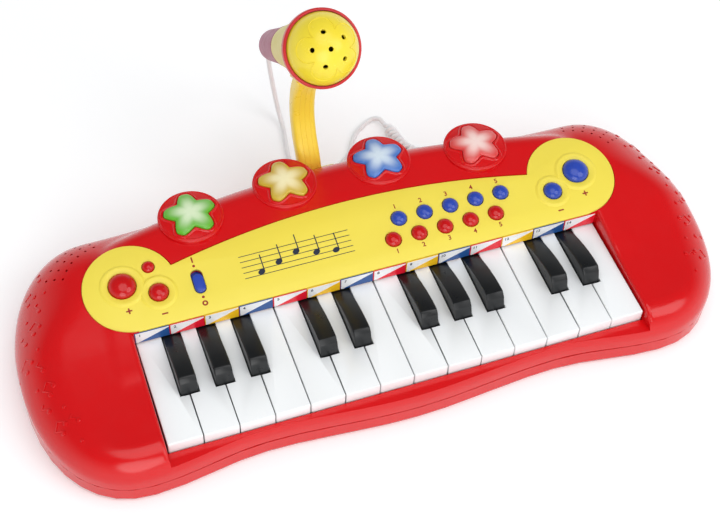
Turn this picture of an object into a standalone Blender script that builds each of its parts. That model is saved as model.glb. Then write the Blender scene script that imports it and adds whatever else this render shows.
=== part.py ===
"""Toy electronic keyboard with a microphone on an arm, as an assembly of separate pieces.

Frame: metres, +Z up, X along the keys, +Y away from the player.
The origin is on the underside, at the middle of the case.
"""
import math

import bmesh
import bpy
from mathutils import Matrix, Vector

MM = 0.001

# Fits
GAP = 0.3 * MM
SLIDE_FIT = 0.4 * MM
WALL = 2.5 * MM

# Keys
KEY_PITCH = 19.5 * MM
WHITE_KEYS = 14
SHARP_AFTER = (1, 1, 1, 0, 1, 1, 0)
KEY_SPACING = 0.6 * MM
KEY_TOP = 29.3 * MM
KEY_DEPTH = 12.0 * MM
KEY_SKIN = 2.0 * MM
KEY_LENGTH = 66.5 * MM
BLACK_WIDTH = 9.8 * MM
BLACK_LENGTH = 39.4 * MM
BLACK_HEIGHT = 9.4 * MM
BLACK_FRONT_LEAN = 2.0 * MM
BLACK_BEVEL = 2.6 * MM
BLACK_ARCH = 1.7
LUG_WIDTH = 8.0 * MM
LUG_END = 5.0 * MM

# Key pivot
PIVOT_SETBACK = 20.0 * MM
PIVOT_HEIGHT = 22.0 * MM
ROD_RADIUS = 1.5 * MM
ROD_FIT = 0.25 * MM
POST_WIDTH = 5.0 * MM

# Case
KEY_SETBACK = 10.9 * MM
PARTING = 11.7 * MM
EDGE_HEIGHT = 16.6 * MM
LEDGE_HEIGHT = 22.3 * MM
FOOT_ROUND = 3.0 * MM
BACK_EDGE_HEIGHT = 13.4 * MM
ROLL_FRONT = 14.0 * MM
ROLL_SIDE = 26.0 * MM
ROLL_BACK = 50.5 * MM
ROLL_EASE = 43.0 * MM
ROLL_FULLNESS = 1.87
CROWN_DEPTH = 42.6 * MM
CROWN_HEIGHT = 50.8 * MM
CROWN_ROLL = 23.4 * MM
CROWN_CURVE = 1012.0 * MM
CROWN_HALF = 155.5 * MM
CREST_BLEND = 4.0 * MM
CROWN_BLEND = 2.0 * MM
BED_MARGIN = 0.8 * MM
LOBE_SETBACK = 10.5 * MM
LOBE_REACH = 53.9 * MM
LOBE_FULLNESS = 2.24
FRONT_TROUGH_X = 84.0 * MM
FRONT_TROUGH = 6.5 * MM
FRONT_MIDDLE = 1.4 * MM
BACK_DROP = 7.5 * MM

# Control panel
PANEL_HEIGHT = 39.2 * MM
PANEL_TILT = math.radians(12)
PANEL_THICKNESS = 1.5 * MM
BACKING = 1.6 * MM
PANEL_LOBE_X = 131.6 * MM
PANEL_LOBE_RISE = 26.4 * MM
PANEL_LOBE_RADIUS = 26.0 * MM
PANEL_BACK = 46.0 * MM
PANEL_BACK_CURVE = 479.0 * MM
COLLAR_HEIGHT = 0.9 * MM
COLLAR_SLOPE = 1.2 * MM
COLLAR_MARGIN = 4.9 * MM

# Buttons
BUTTON_TRAVEL = 1.5 * MM
CAP_UPRIGHT = 0.55
CAP_TURN = math.radians(75)
BUTTON_FLANGE = 1.2 * MM
BUTTON_GRIP = 1.5 * MM
ROW_COUNT = 5
ROW_PITCH = 15.67 * MM
VOICE_ROW = (24.6 * MM, 27.3 * MM)
RHYTHM_ROW = (17.2 * MM, 15.4 * MM)
ROW_RADIUS = 4.5 * MM
ROW_STAND = 3.0 * MM
LARGE_SPOT = (135.5 * MM, 28.7 * MM)
LARGE_RADIUS = 7.5 * MM
LARGE_STAND = 4.4 * MM
SMALL_SPOT = (117.4 * MM, 19.9 * MM)
SMALL_RADIUS = 5.3 * MM
SMALL_STAND = 3.6 * MM
EFFECT_SPOT = (-119.0 * MM, 36.2 * MM)
EFFECT_RADIUS = 3.3 * MM
EFFECT_STAND = 2.4 * MM
SWITCH_SPOT = (-95.0 * MM, 20.3 * MM)
SWITCH_WIDTH = 6.0 * MM
SWITCH_LENGTH = 11.2 * MM
SWITCH_TRAVEL = 3.0 * MM
SWITCH_STAND = 1.6 * MM
SWITCH_PLATE_MARGIN = 3.0 * MM
HOLE_REACH = 8.0 * MM

# Star pads and their round seats on the crown
SEAT_RADIUS = 18.6 * MM
SEAT_EDGE = 51.2 * MM
SEAT_RISE = 2.8 * MM
SEAT_WALL = 2.2 * MM
SEAT_FOOT = 30.0 * MM
SEAT_ROUND = 0.7 * MM
STAR_MIDDLE_X = -1.9 * MM
STAR_OUTER_X = 86.1 * MM
STAR_OUTER_SETBACK = 27.9 * MM
STAR_INNER_X = 28.7 * MM
STAR_INNER_SETBACK = 20.7 * MM
STAR_TIP = 15.0 * MM
STAR_POINT = 24.0 * MM
STAR_NOTCH = 9.6 * MM
STAR_LOBES = 5
STAR_BLUNTNESS = 3.5 * MM
STAR_STAND = 1.3 * MM
STAR_FLANGE = 1.0 * MM
# Share of the star's outline, and share of its stand, at each step of its plump top
STAR_TOP = ((1.0, 0.4), (0.93, 0.88), (0.4, 1.0))

# Boards, speaker and battery bay
BOARD_THICKNESS = 1.6 * MM
BOARD_HALF_LENGTH = 143.0 * MM
BOARD_FROM = 8.0 * MM
BOARD_TO = 40.0 * MM
BOARD_POST_RADIUS = 2.5 * MM
BOARD_POST_X = (-71.5 * MM, 0.0, 106.4 * MM)
CONTACT_BOARD_HEIGHT = 8.0 * MM
CONTACT_BOARD_DEPTH = 46.0 * MM
CONTACT_POST_RADIUS = 3.0 * MM
CONTACT_POST_X = (-122.9 * MM, 0.0, 122.9 * MM)
SPEAKER_RADIUS = 22.0 * MM
SPEAKER_HEIGHT = 17.0 * MM
SPEAKER_X = -160.0 * MM
SPEAKER_SETBACK = 46.5 * MM
SPEAKER_RIM = 2.0 * MM
SPEAKER_RIM_HEIGHT = 3.4 * MM
MAGNET_RADIUS = 9.9 * MM
MAGNET_HEIGHT = 6.8 * MM
CONE_RADIUS = 18.7 * MM
CONE_FLOOR_RADIUS = 6.6 * MM
CONE_DEPTH = 5.1 * MM
HOLDER_HEIGHT = 8.5 * MM
BAY_LENGTH = 108.0 * MM
BAY_WIDTH = 32.0 * MM
BAY_HEIGHT = 18.5 * MM
BAY_WALL = 1.8 * MM
BAY_SETBACK = 5.5 * MM
DOOR_MARGIN = 3.0 * MM
DOOR_THICKNESS = 2.0 * MM
LOBE_SCREW = (171.0 * MM, 33.1 * MM)
BACK_SCREW = (95.1 * MM, 18.4 * MM)
SCREW_HEAD_RADIUS = 3.4 * MM
SCREW_BOSS_RADIUS = 5.5 * MM
SCREW_HEAD_DEPTH = 7.0 * MM
BOSS_HEIGHT = 17.0 * MM

# Microphone and arm
MIC_X = -8.8 * MM
MIC_SETBACK = 19.3 * MM
MIC_HEIGHT = 149.0 * MM
MIC_TILT = math.radians(41.6)
MIC_WALL = 1.6 * MM
RING_RADIUS = 21.2 * MM
RING_BAND = 1.5 * MM
RING_BACK = 3.2 * MM
RING_FRONT = 2.2 * MM
RING_ROUND = 0.9 * MM
GRILLE_HEIGHT = 19.5 * MM
GRILLE_TURN = math.radians(86)
GRILLE_HOLE = 1.35 * MM
GRILLE_HOLE_SPREAD = 9.6 * MM
GRILLE_HOLES = 5
GRILLE_HOLE_START = math.radians(100)
HANDLE_LENGTH = 66.5 * MM
HANDLE_FRONT = 18.6 * MM
HANDLE_REAR = 12.1 * MM
TAIL_LENGTH = 48.4 * MM
TAIL_END = 9.6 * MM
TAIL_COLLAR = 2.9 * MM
TAIL_ROUND = 3.8 * MM
SADDLE_AT = 46.0 * MM
SADDLE_WIDTH = 14.0 * MM
SADDLE_WALL = 3.2 * MM
SADDLE_TURN = math.radians(30)
PEG_RADIUS = 3.0 * MM
PEG_REACH = 3.5 * MM
ARM_WIDTH = 13.8 * MM
ARM_THICKNESS = 9.0 * MM
ARM_ROUND = 2.7 * MM
ARM_BASE_WIDTH = 34.0 * MM
ARM_BASE_FOOT = 18.0 * MM
ARM_BASE_TOP = 31.0 * MM
ARM_BASE_REACH = 2.5 * MM
# Distance behind the case's back edge, and height, of the points that the arm's stem bows through
ARM_ROUTE = (
    (-2.0 * MM, 28.0 * MM),
    (2.5 * MM, 39.8 * MM),
    (10.1 * MM, 53.5 * MM),
    (14.1 * MM, 69.5 * MM),
    (11.9 * MM, 88.5 * MM),
)

# Microphone cord
CORD_RADIUS = 1.5 * MM
CORD_LIE = 1.7 * MM
COIL_RADIUS = 3.7 * MM
COIL_LIE = 3.9 * MM
GLAND_X = 122.0 * MM
GLAND_HEIGHT = 5.6 * MM
GLAND_RADIUS = 3.6 * MM
GLAND_TIP = 2.5 * MM
GLAND_REACH = 5.0 * MM

# Places worked out from the sizes above
BED_HALF = WHITE_KEYS * KEY_PITCH / 2
LOBE_X = BED_HALF + LOBE_SETBACK
CASE_DEPTH = KEY_SETBACK + KEY_LENGTH + PANEL_BACK * math.cos(PANEL_TILT) + CROWN_DEPTH
CASE_HALF = LOBE_X + LOBE_REACH
FRONT_Y = -CASE_DEPTH / 2
BACK_Y = CASE_DEPTH / 2
KEY_FRONT_Y = FRONT_Y + KEY_SETBACK
STRIP_Y = KEY_FRONT_Y + KEY_LENGTH
PIVOT_Y = STRIP_Y + PIVOT_SETBACK
SLOPE = math.tan(PANEL_TILT)
LOBE_HEIGHT = PANEL_HEIGHT - 0.5 * SLOPE * KEY_LENGTH
PANEL_SEAT = -(PANEL_THICKNESS + GAP)
BACKING_FACE = PANEL_SEAT - BACKING
FLANGE_TOP = BACKING_FACE - GAP
FLANGE_FOOT = FLANGE_TOP - BUTTON_FLANGE
BOARD_TOP = FLANGE_FOOT - BUTTON_TRAVEL - GAP
POST_MIDDLE = BED_HALF + BED_MARGIN + POST_WIDTH
BAY_FRONT = PIVOT_Y + LUG_END + BAY_SETBACK
BAY_BACK = BAY_FRONT + BAY_WIDTH
DOOR_HALF = BAY_LENGTH / 2 + DOOR_MARGIN
TAIL_START = -(RING_BACK + HANDLE_LENGTH + GAP)
TOOL_REACH = 20.0 * MM
BACK_STARS = (
    (STAR_MIDDLE_X - STAR_OUTER_X, BACK_Y - STAR_OUTER_SETBACK),
    (STAR_MIDDLE_X - STAR_INNER_X, BACK_Y - STAR_INNER_SETBACK),
    (STAR_MIDDLE_X + STAR_INNER_X, BACK_Y - STAR_INNER_SETBACK),
    (STAR_MIDDLE_X + STAR_OUTER_X, BACK_Y - STAR_OUTER_SETBACK),
)
MIC_PLACE = Vector((MIC_X, BACK_Y - MIC_SETBACK, MIC_HEIGHT))
SPEAKER_SPOT = (SPEAKER_X, BACK_Y - SPEAKER_SETBACK)
SCREW_SPOTS = ((LOBE_SCREW[0], FRONT_Y + LOBE_SCREW[1]), (BACK_SCREW[0], BACK_Y - BACK_SCREW[1]))

# Fineness of the round shapes
TROUGH_STEPS = 5
RISE_STEPS = 4
LOBE_STEPS = 9
BACK_STEPS = 9
OUTER_STEPS = 20
INNER_STEPS = 12
PANEL_ARC_STEPS = 22
PANEL_ARCH_STEPS = 6
PILL_STEPS = 6
BLACK_STEPS = 6
STAR_STEPS = 40
SEAT_STEPS = 3
CAP_STEPS = 2
GRILLE_STEPS = 5
SADDLE_STEPS = 4
CURVE_STEPS = 3
POST_SIDES = 12
BUTTON_SIDES = 16
COLLAR_SIDES = 24
MIC_SIDES = 24
SEAT_SIDES = 28
SPEAKER_SIDES = 32


def clear_scene():
    for item in list(bpy.data.objects):
        bpy.data.objects.remove(item, do_unlink=True)


def plastic(name, colour, roughness, metallic=0.0):
    """A plain material; colour is given in linear red, green and blue."""
    material = bpy.data.materials.new(name)
    material.use_nodes = True
    shader = material.node_tree.nodes['Principled BSDF']
    shader.inputs['Base Color'].default_value = (*colour, 1.0)
    shader.inputs['Roughness'].default_value = roughness
    shader.inputs['Metallic'].default_value = metallic
    return material


RED = (0.60, 0.012, 0.014)
YELLOW = (0.85, 0.72, 0.09)
ARM_YELLOW = (0.85, 0.60, 0.03)
WHITE = (0.85, 0.85, 0.85)
BLACK = (0.012, 0.013, 0.016)
BLUE = (0.045, 0.08, 0.42)
BOARD_GREEN = (0.03, 0.16, 0.06)
STEEL = (0.55, 0.55, 0.56)
STAR_COLOURS = ((0.16, 0.62, 0.10), (0.85, 0.70, 0.08), (0.05, 0.16, 0.62), (0.72, 0.04, 0.03))


def finish(item, colour, roughness, metallic=0.0, smooth=None):
    """Give a piece its material, and round shading below the given angle."""
    item.data.materials.clear()
    item.data.materials.append(plastic(item.name + '_finish', colour, roughness, metallic))
    if smooth is not None:
        item.data.shade_smooth()
        item.data.set_sharp_from_angle(angle=math.radians(smooth))
    return item


def add_mesh(name, mesh):
    """Put a finished mesh into the scene as an object."""
    data = bpy.data.meshes.new(name)
    mesh.to_mesh(data)
    mesh.free()
    item = bpy.data.objects.new(name, data)
    bpy.context.scene.collection.objects.link(item)
    return item


def loft(name, rings, ring_closed=False):
    """A closed solid through rings of points; a closed loft joins its last ring to its first."""
    mesh = bmesh.new()
    loops = [[mesh.verts.new(point) for point in ring] for ring in rings]
    count = len(loops[0])
    pairs = list(zip(loops, loops[1:]))
    if ring_closed:
        pairs.append((loops[-1], loops[0]))
    for low, high in pairs:
        for here in range(count):
            there = (here + 1) % count
            mesh.faces.new((low[here], low[there], high[there], high[here]))
    if not ring_closed:
        mesh.faces.new(loops[0])
        mesh.faces.new(loops[-1])
    bmesh.ops.recalc_face_normals(mesh, faces=mesh.faces)
    return add_mesh(name, mesh)


def circle(radius, height, sides, centre=(0.0, 0.0)):
    return [
        Vector((
            centre[0] + radius * math.cos(math.tau * step / sides),
            centre[1] + radius * math.sin(math.tau * step / sides),
            height,
        ))
        for step in range(sides)
    ]


def turned(name, profile, sides, ring_closed=False):
    """A solid of revolution about Z from (radius, height) points."""
    return loft(name, [circle(radius, height, sides) for radius, height in profile], ring_closed)


def prism(name, outline, low, high):
    """An outline of (x, y) points between two heights."""
    return loft(name, [[Vector((x, y, height)) for x, y in outline] for height in (low, high)])


def box(name, low, high):
    outline = ((low[0], low[1]), (high[0], low[1]), (high[0], high[1]), (low[0], high[1]))
    return prism(name, outline, low[2], high[2])


def move_mesh(item, matrix):
    item.data.transform(matrix)
    return item


def join_tools(items):
    """Put several separate tool bodies into one mesh."""
    mesh = bmesh.new()
    for item in items:
        mesh.from_mesh(item.data)
    first = items[0]
    mesh.to_mesh(first.data)
    mesh.free()
    for item in items[1:]:
        bpy.data.objects.remove(item, do_unlink=True)
    return first


def combine(item, tool, operation):
    """Add or cut a tool body, and drop the tool."""
    modifier = item.modifiers.new('shape', 'BOOLEAN')
    modifier.operation = operation
    modifier.solver = 'EXACT'
    modifier.object = tool
    bpy.context.view_layer.update()
    shaped = item.evaluated_get(bpy.context.evaluated_depsgraph_get())
    data = bpy.data.meshes.new_from_object(shaped)
    item.modifiers.clear()
    item.data = data
    bpy.data.objects.remove(tool, do_unlink=True)
    return item


def cut(item, *tools):
    return combine(item, join_tools(list(tools)), 'DIFFERENCE')


def add(item, *tools):
    for tool in tools:
        combine(item, tool, 'UNION')
    return item


def set_origin(item, place):
    """Move the piece's origin to a place without moving the piece."""
    place = Vector(place)
    item.data.transform(Matrix.Translation(-place))
    item.location = place
    return item


def smooth_step(value):
    value = min(max(value, 0.0), 1.0)
    return value * value * (3.0 - 2.0 * value)


def smooth_min(one, other, blend):
    share = max(blend - abs(one - other), 0.0) / blend
    return min(one, other) - share * share * blend / 4


def spline(points):
    """Points on a smooth curve through the given points."""
    curve = []
    last = len(points) - 1
    for span in range(last):
        before, start, end, after = [points[min(max(span + shift, 0), last)] for shift in (-1, 0, 1, 2)]
        for step in range(CURVE_STEPS):
            part = step / CURVE_STEPS
            curve.append(0.5 * (
                2 * start + (end - before) * part
                + (2 * before - 5 * start + 4 * end - after) * part**2
                + (3 * start - before - 3 * end + after) * part**3
            ))
    curve.append(points[-1].copy())
    return curve


def wave(start, end, share):
    """A value that eases from start to end like half a wave."""
    return (start + end) / 2 + (start - end) / 2 * math.cos(math.pi * share)


def case_outline():
    """The plan outline, anticlockwise from the front middle, in equal counts front and back."""
    right = []
    for step in range(TROUGH_STEPS):
        share = step / TROUGH_STEPS
        right.append((FRONT_TROUGH_X * share, FRONT_Y + wave(FRONT_MIDDLE, FRONT_TROUGH, share)))
    for step in range(RISE_STEPS):
        share = step / RISE_STEPS
        x = FRONT_TROUGH_X + (LOBE_X - FRONT_TROUGH_X) * share
        right.append((x, FRONT_Y + wave(FRONT_TROUGH, 0.0, share)))
    lobe_y = (FRONT_Y + BACK_Y - BACK_DROP) / 2
    lobe_depth = lobe_y - FRONT_Y
    for step in range(2 * LOBE_STEPS):
        angle = math.pi / 2 * (step / LOBE_STEPS - 1)
        power = 2 / LOBE_FULLNESS
        x = LOBE_X + LOBE_REACH * math.cos(angle) ** power
        right.append((x, lobe_y + math.copysign(lobe_depth * abs(math.sin(angle)) ** power, angle)))
    for step in range(BACK_STEPS + 1):
        share = step / BACK_STEPS
        right.append((LOBE_X * (1 - share), BACK_Y - wave(BACK_DROP, 0.0, share)))
    left = [(-x, y) for x, y in reversed(right[1:-1])]
    return [Vector(point) for point in right + left]


def inset_outline(inset):
    """The plan outline drawn in by a distance."""
    outline = case_outline()
    count = len(outline)
    drawn = []
    for here, point in enumerate(outline):
        along = outline[(here + 1) % count] - outline[here - 1]
        drawn.append(point + inset * Vector((-along.y, along.x)).normalized())
    return drawn


def edge_distance(spot, outline):
    """Shortest way from a spot inside to the outline."""
    shortest = CASE_DEPTH
    for here, start in enumerate(outline):
        along = outline[(here + 1) % len(outline)] - start
        share = min(max((spot - start).dot(along) / along.dot(along), 0.0), 1.0)
        shortest = min(shortest, (start + along * share - spot).length)
    return shortest


def quarter_round(share, fullness=2.0):
    """Height share of a quarter round at a share of its width."""
    share = min(max(share, 0.0), 1.0)
    return (1 - (1 - share) ** fullness) ** (1 / fullness)


def edge_height(y):
    """Height of the upright wall, a little lower at the back."""
    return EDGE_HEIGHT + (BACK_EDGE_HEIGHT - EDGE_HEIGHT) * smooth_step((y - STRIP_Y) / ROLL_EASE)


def deck_height(y):
    """Height of the top along the middle of the case: a rising curve, then the panel's slope."""
    if y < STRIP_Y:
        reach = max(y, KEY_FRONT_Y) - KEY_FRONT_Y
        return LOBE_HEIGHT + 0.5 * SLOPE * reach**2 / KEY_LENGTH
    return PANEL_HEIGHT + SLOPE * (y - STRIP_Y)


def top_height(spot, inset, shrink):
    """Height of the rounded top at a spot, a distance inside the outline."""
    roll = ROLL_FRONT + (ROLL_SIDE - ROLL_FRONT) * smooth_step((spot.y - KEY_FRONT_Y) / ROLL_EASE)
    roll += (ROLL_BACK - ROLL_SIDE) * smooth_step((spot.y - STRIP_Y) / ROLL_EASE)
    deck = deck_height(spot.y)
    edge = edge_height(spot.y)
    pillow = edge + (deck - edge) * quarter_round(inset / roll, ROLL_FULLNESS)
    behind = BACK_Y - spot.x**2 / CROWN_CURVE - shrink - spot.y
    beside = CROWN_HALF - shrink - abs(spot.x)
    swell = quarter_round(behind / CROWN_ROLL) * quarter_round(beside / CROWN_ROLL)
    crown = smooth_min(deck, edge + (CROWN_HEIGHT - edge) * swell, CREST_BLEND)
    crown -= CROWN_HEIGHT * (1 - smooth_step((spot.y - KEY_FRONT_Y) / ROLL_EASE))
    return -smooth_min(-pillow, -crown, CROWN_BLEND) - shrink


def case_top(name, thickness, foot):
    """The rounded upper form down to a foot height, drawn in by a wall thickness."""
    outline = inset_outline(thickness)
    count = len(outline)
    parts = INNER_STEPS if thickness > 0 else OUTER_STEPS
    mesh = bmesh.new()
    low = [mesh.verts.new((*point, foot)) for point in outline]
    high = [mesh.verts.new((*point, edge_height(point.y) - thickness)) for point in outline]
    for here in range(count):
        there = (here + 1) % count
        mesh.faces.new((low[here], low[there], high[there], high[here]))
    mesh.faces.new(low)
    widest = count // 4
    columns = []
    for step in range(count // 2 + 1):
        front = (step - widest) % count
        back = (count - widest - step) % count
        column = [high[front]]
        if front != back:
            for part in range(1, parts):
                share = (1 - math.cos(math.pi * part / parts)) / 2
                spot = outline[front].lerp(outline[back], share)
                inset = edge_distance(spot, outline)
                column.append(mesh.verts.new((*spot, top_height(spot, inset, thickness))))
            column.append(high[back])
        columns.append(column)
    for left, right in zip(columns, columns[1:]):
        longest = max(len(left), len(right))
        left = left * longest if len(left) == 1 else left
        right = right * longest if len(right) == 1 else right
        for here in range(longest - 1):
            corners = (left[here], right[here], right[here + 1], left[here + 1])
            mesh.faces.new(dict.fromkeys(corners))
    bmesh.ops.recalc_face_normals(mesh, faces=mesh.faces)
    return add_mesh(name, mesh)


def star_seats(shrink, foot):
    """The four round seats that stand on the crown, drawn in by a wall thickness."""
    radius = SEAT_RADIUS - shrink
    edge = SEAT_EDGE - shrink
    profile = [(radius, foot), (radius, edge - SEAT_ROUND), (radius - SEAT_ROUND, edge)]
    for step in range(1, SEAT_STEPS):
        share = 1 - step / SEAT_STEPS
        profile.append((share * radius, edge + SEAT_RISE * (1 - share**2)))
    seats = []
    for x, y in BACK_STARS:
        seat = turned('seat', profile, SEAT_SIDES)
        seats.append(move_mesh(seat, Matrix.Translation((x, y, 0))))
    return seats


def case_body(name, thickness, foot, seat_foot):
    body = case_top(name, thickness, foot)
    shrink = thickness if thickness < 0 else thickness * SEAT_WALL / WALL
    return add(body, join_tools(star_seats(shrink, seat_foot)))


def panel_matrix(x=0.0, up=0.0, out=0.0):
    """Placement on the sloping panel: along the keys, up the slope and out of the face."""
    place = Matrix.Translation((0, STRIP_Y, PANEL_HEIGHT))
    tilt = Matrix.Rotation(PANEL_TILT, 4, 'X')
    return place @ tilt @ Matrix.Translation((x, up, out))


def panel_outline(grow, front):
    """The panel's outline in its own plane: a band with an arched back and two round ends."""
    radius = PANEL_LOBE_RADIUS + grow
    back = PANEL_BACK + grow

    def beyond(angle):
        x = PANEL_LOBE_X + radius * math.cos(angle)
        up = PANEL_LOBE_RISE + radius * math.sin(angle)
        return up - (back - x * x / (2 * PANEL_BACK_CURVE))

    low = math.pi / 2
    high = math.pi
    while high - low > 1e-9:
        middle = (low + high) / 2
        if beyond(middle) > 0:
            low = middle
        else:
            high = middle
    start = -math.pi / 2
    right = []
    for step in range(PANEL_ARC_STEPS + 1):
        angle = start + (low - start) * step / PANEL_ARC_STEPS
        right.append((
            PANEL_LOBE_X + radius * math.cos(angle),
            max(PANEL_LOBE_RISE + radius * math.sin(angle), front),
        ))
    right[0] = (PANEL_LOBE_X, front)
    notch = right[-1][0]
    for step in range(1, PANEL_ARCH_STEPS + 1):
        x = notch * (1 - step / PANEL_ARCH_STEPS)
        right.append((x, back - x * x / (2 * PANEL_BACK_CURVE)))
    left = [(-x, up) for x, up in reversed(right[:-1])]
    return right + left


def pill(width, length):
    """A slot outline with round ends, long way up."""
    outline = []
    straight = (length - width) / 2
    for side in (1, -1):
        for step in range(PILL_STEPS + 1):
            angle = math.pi * step / PILL_STEPS + (0 if side == 1 else math.pi)
            outline.append((width / 2 * math.cos(angle), side * straight + width / 2 * math.sin(angle)))
    return outline


def button_list():
    """Name, place on the panel, radius, stand above the face, colour and collar for each button."""
    buttons = []
    for count in range(ROW_COUNT):
        x, up = VOICE_ROW
        spot = (x + count * ROW_PITCH, up)
        buttons.append((f'voice_button_{count + 1}', spot, ROW_RADIUS, ROW_STAND, BLUE, False))
    for count in range(ROW_COUNT):
        x, up = RHYTHM_ROW
        spot = (x + count * ROW_PITCH, up)
        buttons.append((f'rhythm_button_{count + 1}', spot, ROW_RADIUS, ROW_STAND, RED, False))
    for side, name, colour in ((-1, 'volume', RED), (1, 'tempo', BLUE)):
        large = (side * LARGE_SPOT[0], LARGE_SPOT[1])
        small = (side * SMALL_SPOT[0], SMALL_SPOT[1])
        buttons.append((f'{name}_up_button', large, LARGE_RADIUS, LARGE_STAND, colour, True))
        buttons.append((f'{name}_down_button', small, SMALL_RADIUS, SMALL_STAND, colour, True))
    buttons.append(('effect_button', EFFECT_SPOT, EFFECT_RADIUS, EFFECT_STAND, RED, False))
    return buttons


def button_holes():
    """Round holes for every button and the slot of the power switch."""
    tools = []
    for _, (x, up), radius, _, _, _ in button_list():
        wide = radius + SLIDE_FIT
        hole = turned('hole', ((wide, -HOLE_REACH), (wide, HOLE_REACH)), BUTTON_SIDES)
        tools.append(move_mesh(hole, panel_matrix(x, up)))
    slot_outline = pill(SWITCH_WIDTH + 2 * SLIDE_FIT, SWITCH_LENGTH + SWITCH_TRAVEL + 2 * SLIDE_FIT)
    slot = prism('slot', slot_outline, -HOLE_REACH, HOLE_REACH)
    tools.append(move_mesh(slot, panel_matrix(*SWITCH_SPOT)))
    return tools


def make_button(name, spot, radius, stand, colour):
    """A moulded cap with a domed top and a flange that holds it under the case."""
    flange = radius + BUTTON_GRIP
    upright = CAP_UPRIGHT * stand
    profile = [(flange, FLANGE_FOOT), (flange, FLANGE_TOP), (radius, FLANGE_TOP)]
    for step in range(CAP_STEPS + 1):
        turn = CAP_TURN * step / CAP_STEPS
        profile.append((radius * math.cos(turn), upright + (stand - upright) * math.sin(turn)))
    button = turned(name, profile, BUTTON_SIDES)
    button.matrix_world = panel_matrix(*spot)
    return finish(button, colour, 0.28, smooth=40)


def make_switch():
    """The sliding power switch, at its lower end."""
    cap = prism('power_switch', pill(SWITCH_WIDTH, SWITCH_LENGTH), FLANGE_FOOT, SWITCH_STAND)
    margin = 2 * SWITCH_PLATE_MARGIN
    plate_outline = pill(SWITCH_WIDTH + margin, SWITCH_LENGTH + SWITCH_TRAVEL + margin)
    add(cap, prism('plate', plate_outline, FLANGE_FOOT - BUTTON_FLANGE, FLANGE_TOP))
    x, up = SWITCH_SPOT
    cap.matrix_world = panel_matrix(x, up - SWITCH_TRAVEL / 2)
    return finish(cap, BLUE, 0.3, smooth=40)


def make_panel():
    """The yellow panel plate with raised collars round the volume and tempo buttons."""
    plate = prism('control_panel', panel_outline(0.0, GAP), -PANEL_THICKNESS, 0.0)
    for _, (x, up), radius, _, _, collar in button_list():
        if collar:
            outer = radius + COLLAR_MARGIN
            profile = ((outer, -PANEL_THICKNESS / 2), (outer, 0.0), (outer - COLLAR_SLOPE, COLLAR_HEIGHT))
            ring = turned('collar', profile, COLLAR_SIDES)
            add(plate, move_mesh(ring, Matrix.Translation((x, up, 0))))
    plate.matrix_world = panel_matrix()
    bpy.context.view_layer.update()
    cut(plate, *button_holes())
    return finish(plate, YELLOW, 0.32, smooth=30)


def star_outline(grow):
    """A five-lobed outline with its first tip to the back, widened all round by a distance."""
    outline = []
    turn = math.tau / STAR_LOBES
    for step in range(STAR_STEPS):
        angle = math.tau * step / STAR_STEPS
        off_tip = abs((angle - math.pi / 2 + turn / 2) % turn - turn / 2)
        side = STAR_POINT * STAR_NOTCH * math.sin(turn / 2)
        side /= STAR_NOTCH * math.sin(turn / 2 - off_tip) + STAR_POINT * math.sin(off_tip)
        radius = smooth_min(side, STAR_TIP, STAR_BLUNTNESS) + grow
        outline.append((radius * math.cos(angle), radius * math.sin(angle)))
    return outline


def seat_roof(radius):
    """Height of the seats' domed top at a distance from their middle."""
    return SEAT_EDGE + SEAT_RISE * (1 - (radius / SEAT_RADIUS) ** 2)


def make_star(name, place, colour):
    """A plump five-lobed pad with a flange under the seat's roof."""
    under = SEAT_EDGE - SEAT_WALL - SEAT_ROUND - GAP
    rings = []
    for grow, height in ((STAR_FLANGE, under - STAR_FLANGE), (STAR_FLANGE, under), (0.0, under)):
        rings.append([Vector((x, y, height)) for x, y in star_outline(grow)])
    for width, stand in STAR_TOP:
        ring = []
        for x, y in star_outline(0.0):
            spot = Vector((x, y)) * width
            ring.append(Vector((*spot, seat_roof(spot.length) + STAR_STAND * stand)))
        rings.append(ring)
    star = loft(name, rings)
    star.location = (*place, 0)
    return finish(star, colour, 0.15, smooth=45)


def sharp_lines():
    """Numbers of the gaps between white keys that carry a black key."""
    return [line for line in range(1, WHITE_KEYS) if SHARP_AFTER[(line - 1) % len(SHARP_AFTER)]]


def rod_tool(from_x, to_x, radius):
    """A round bar along the pivot line."""
    bar = turned('bar', ((radius, from_x), (radius, to_x)), POST_SIDES)
    turn = Matrix.Rotation(math.pi / 2, 4, 'Y')
    return move_mesh(bar, Matrix.Translation((0, PIVOT_Y, PIVOT_HEIGHT)) @ turn)


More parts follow.
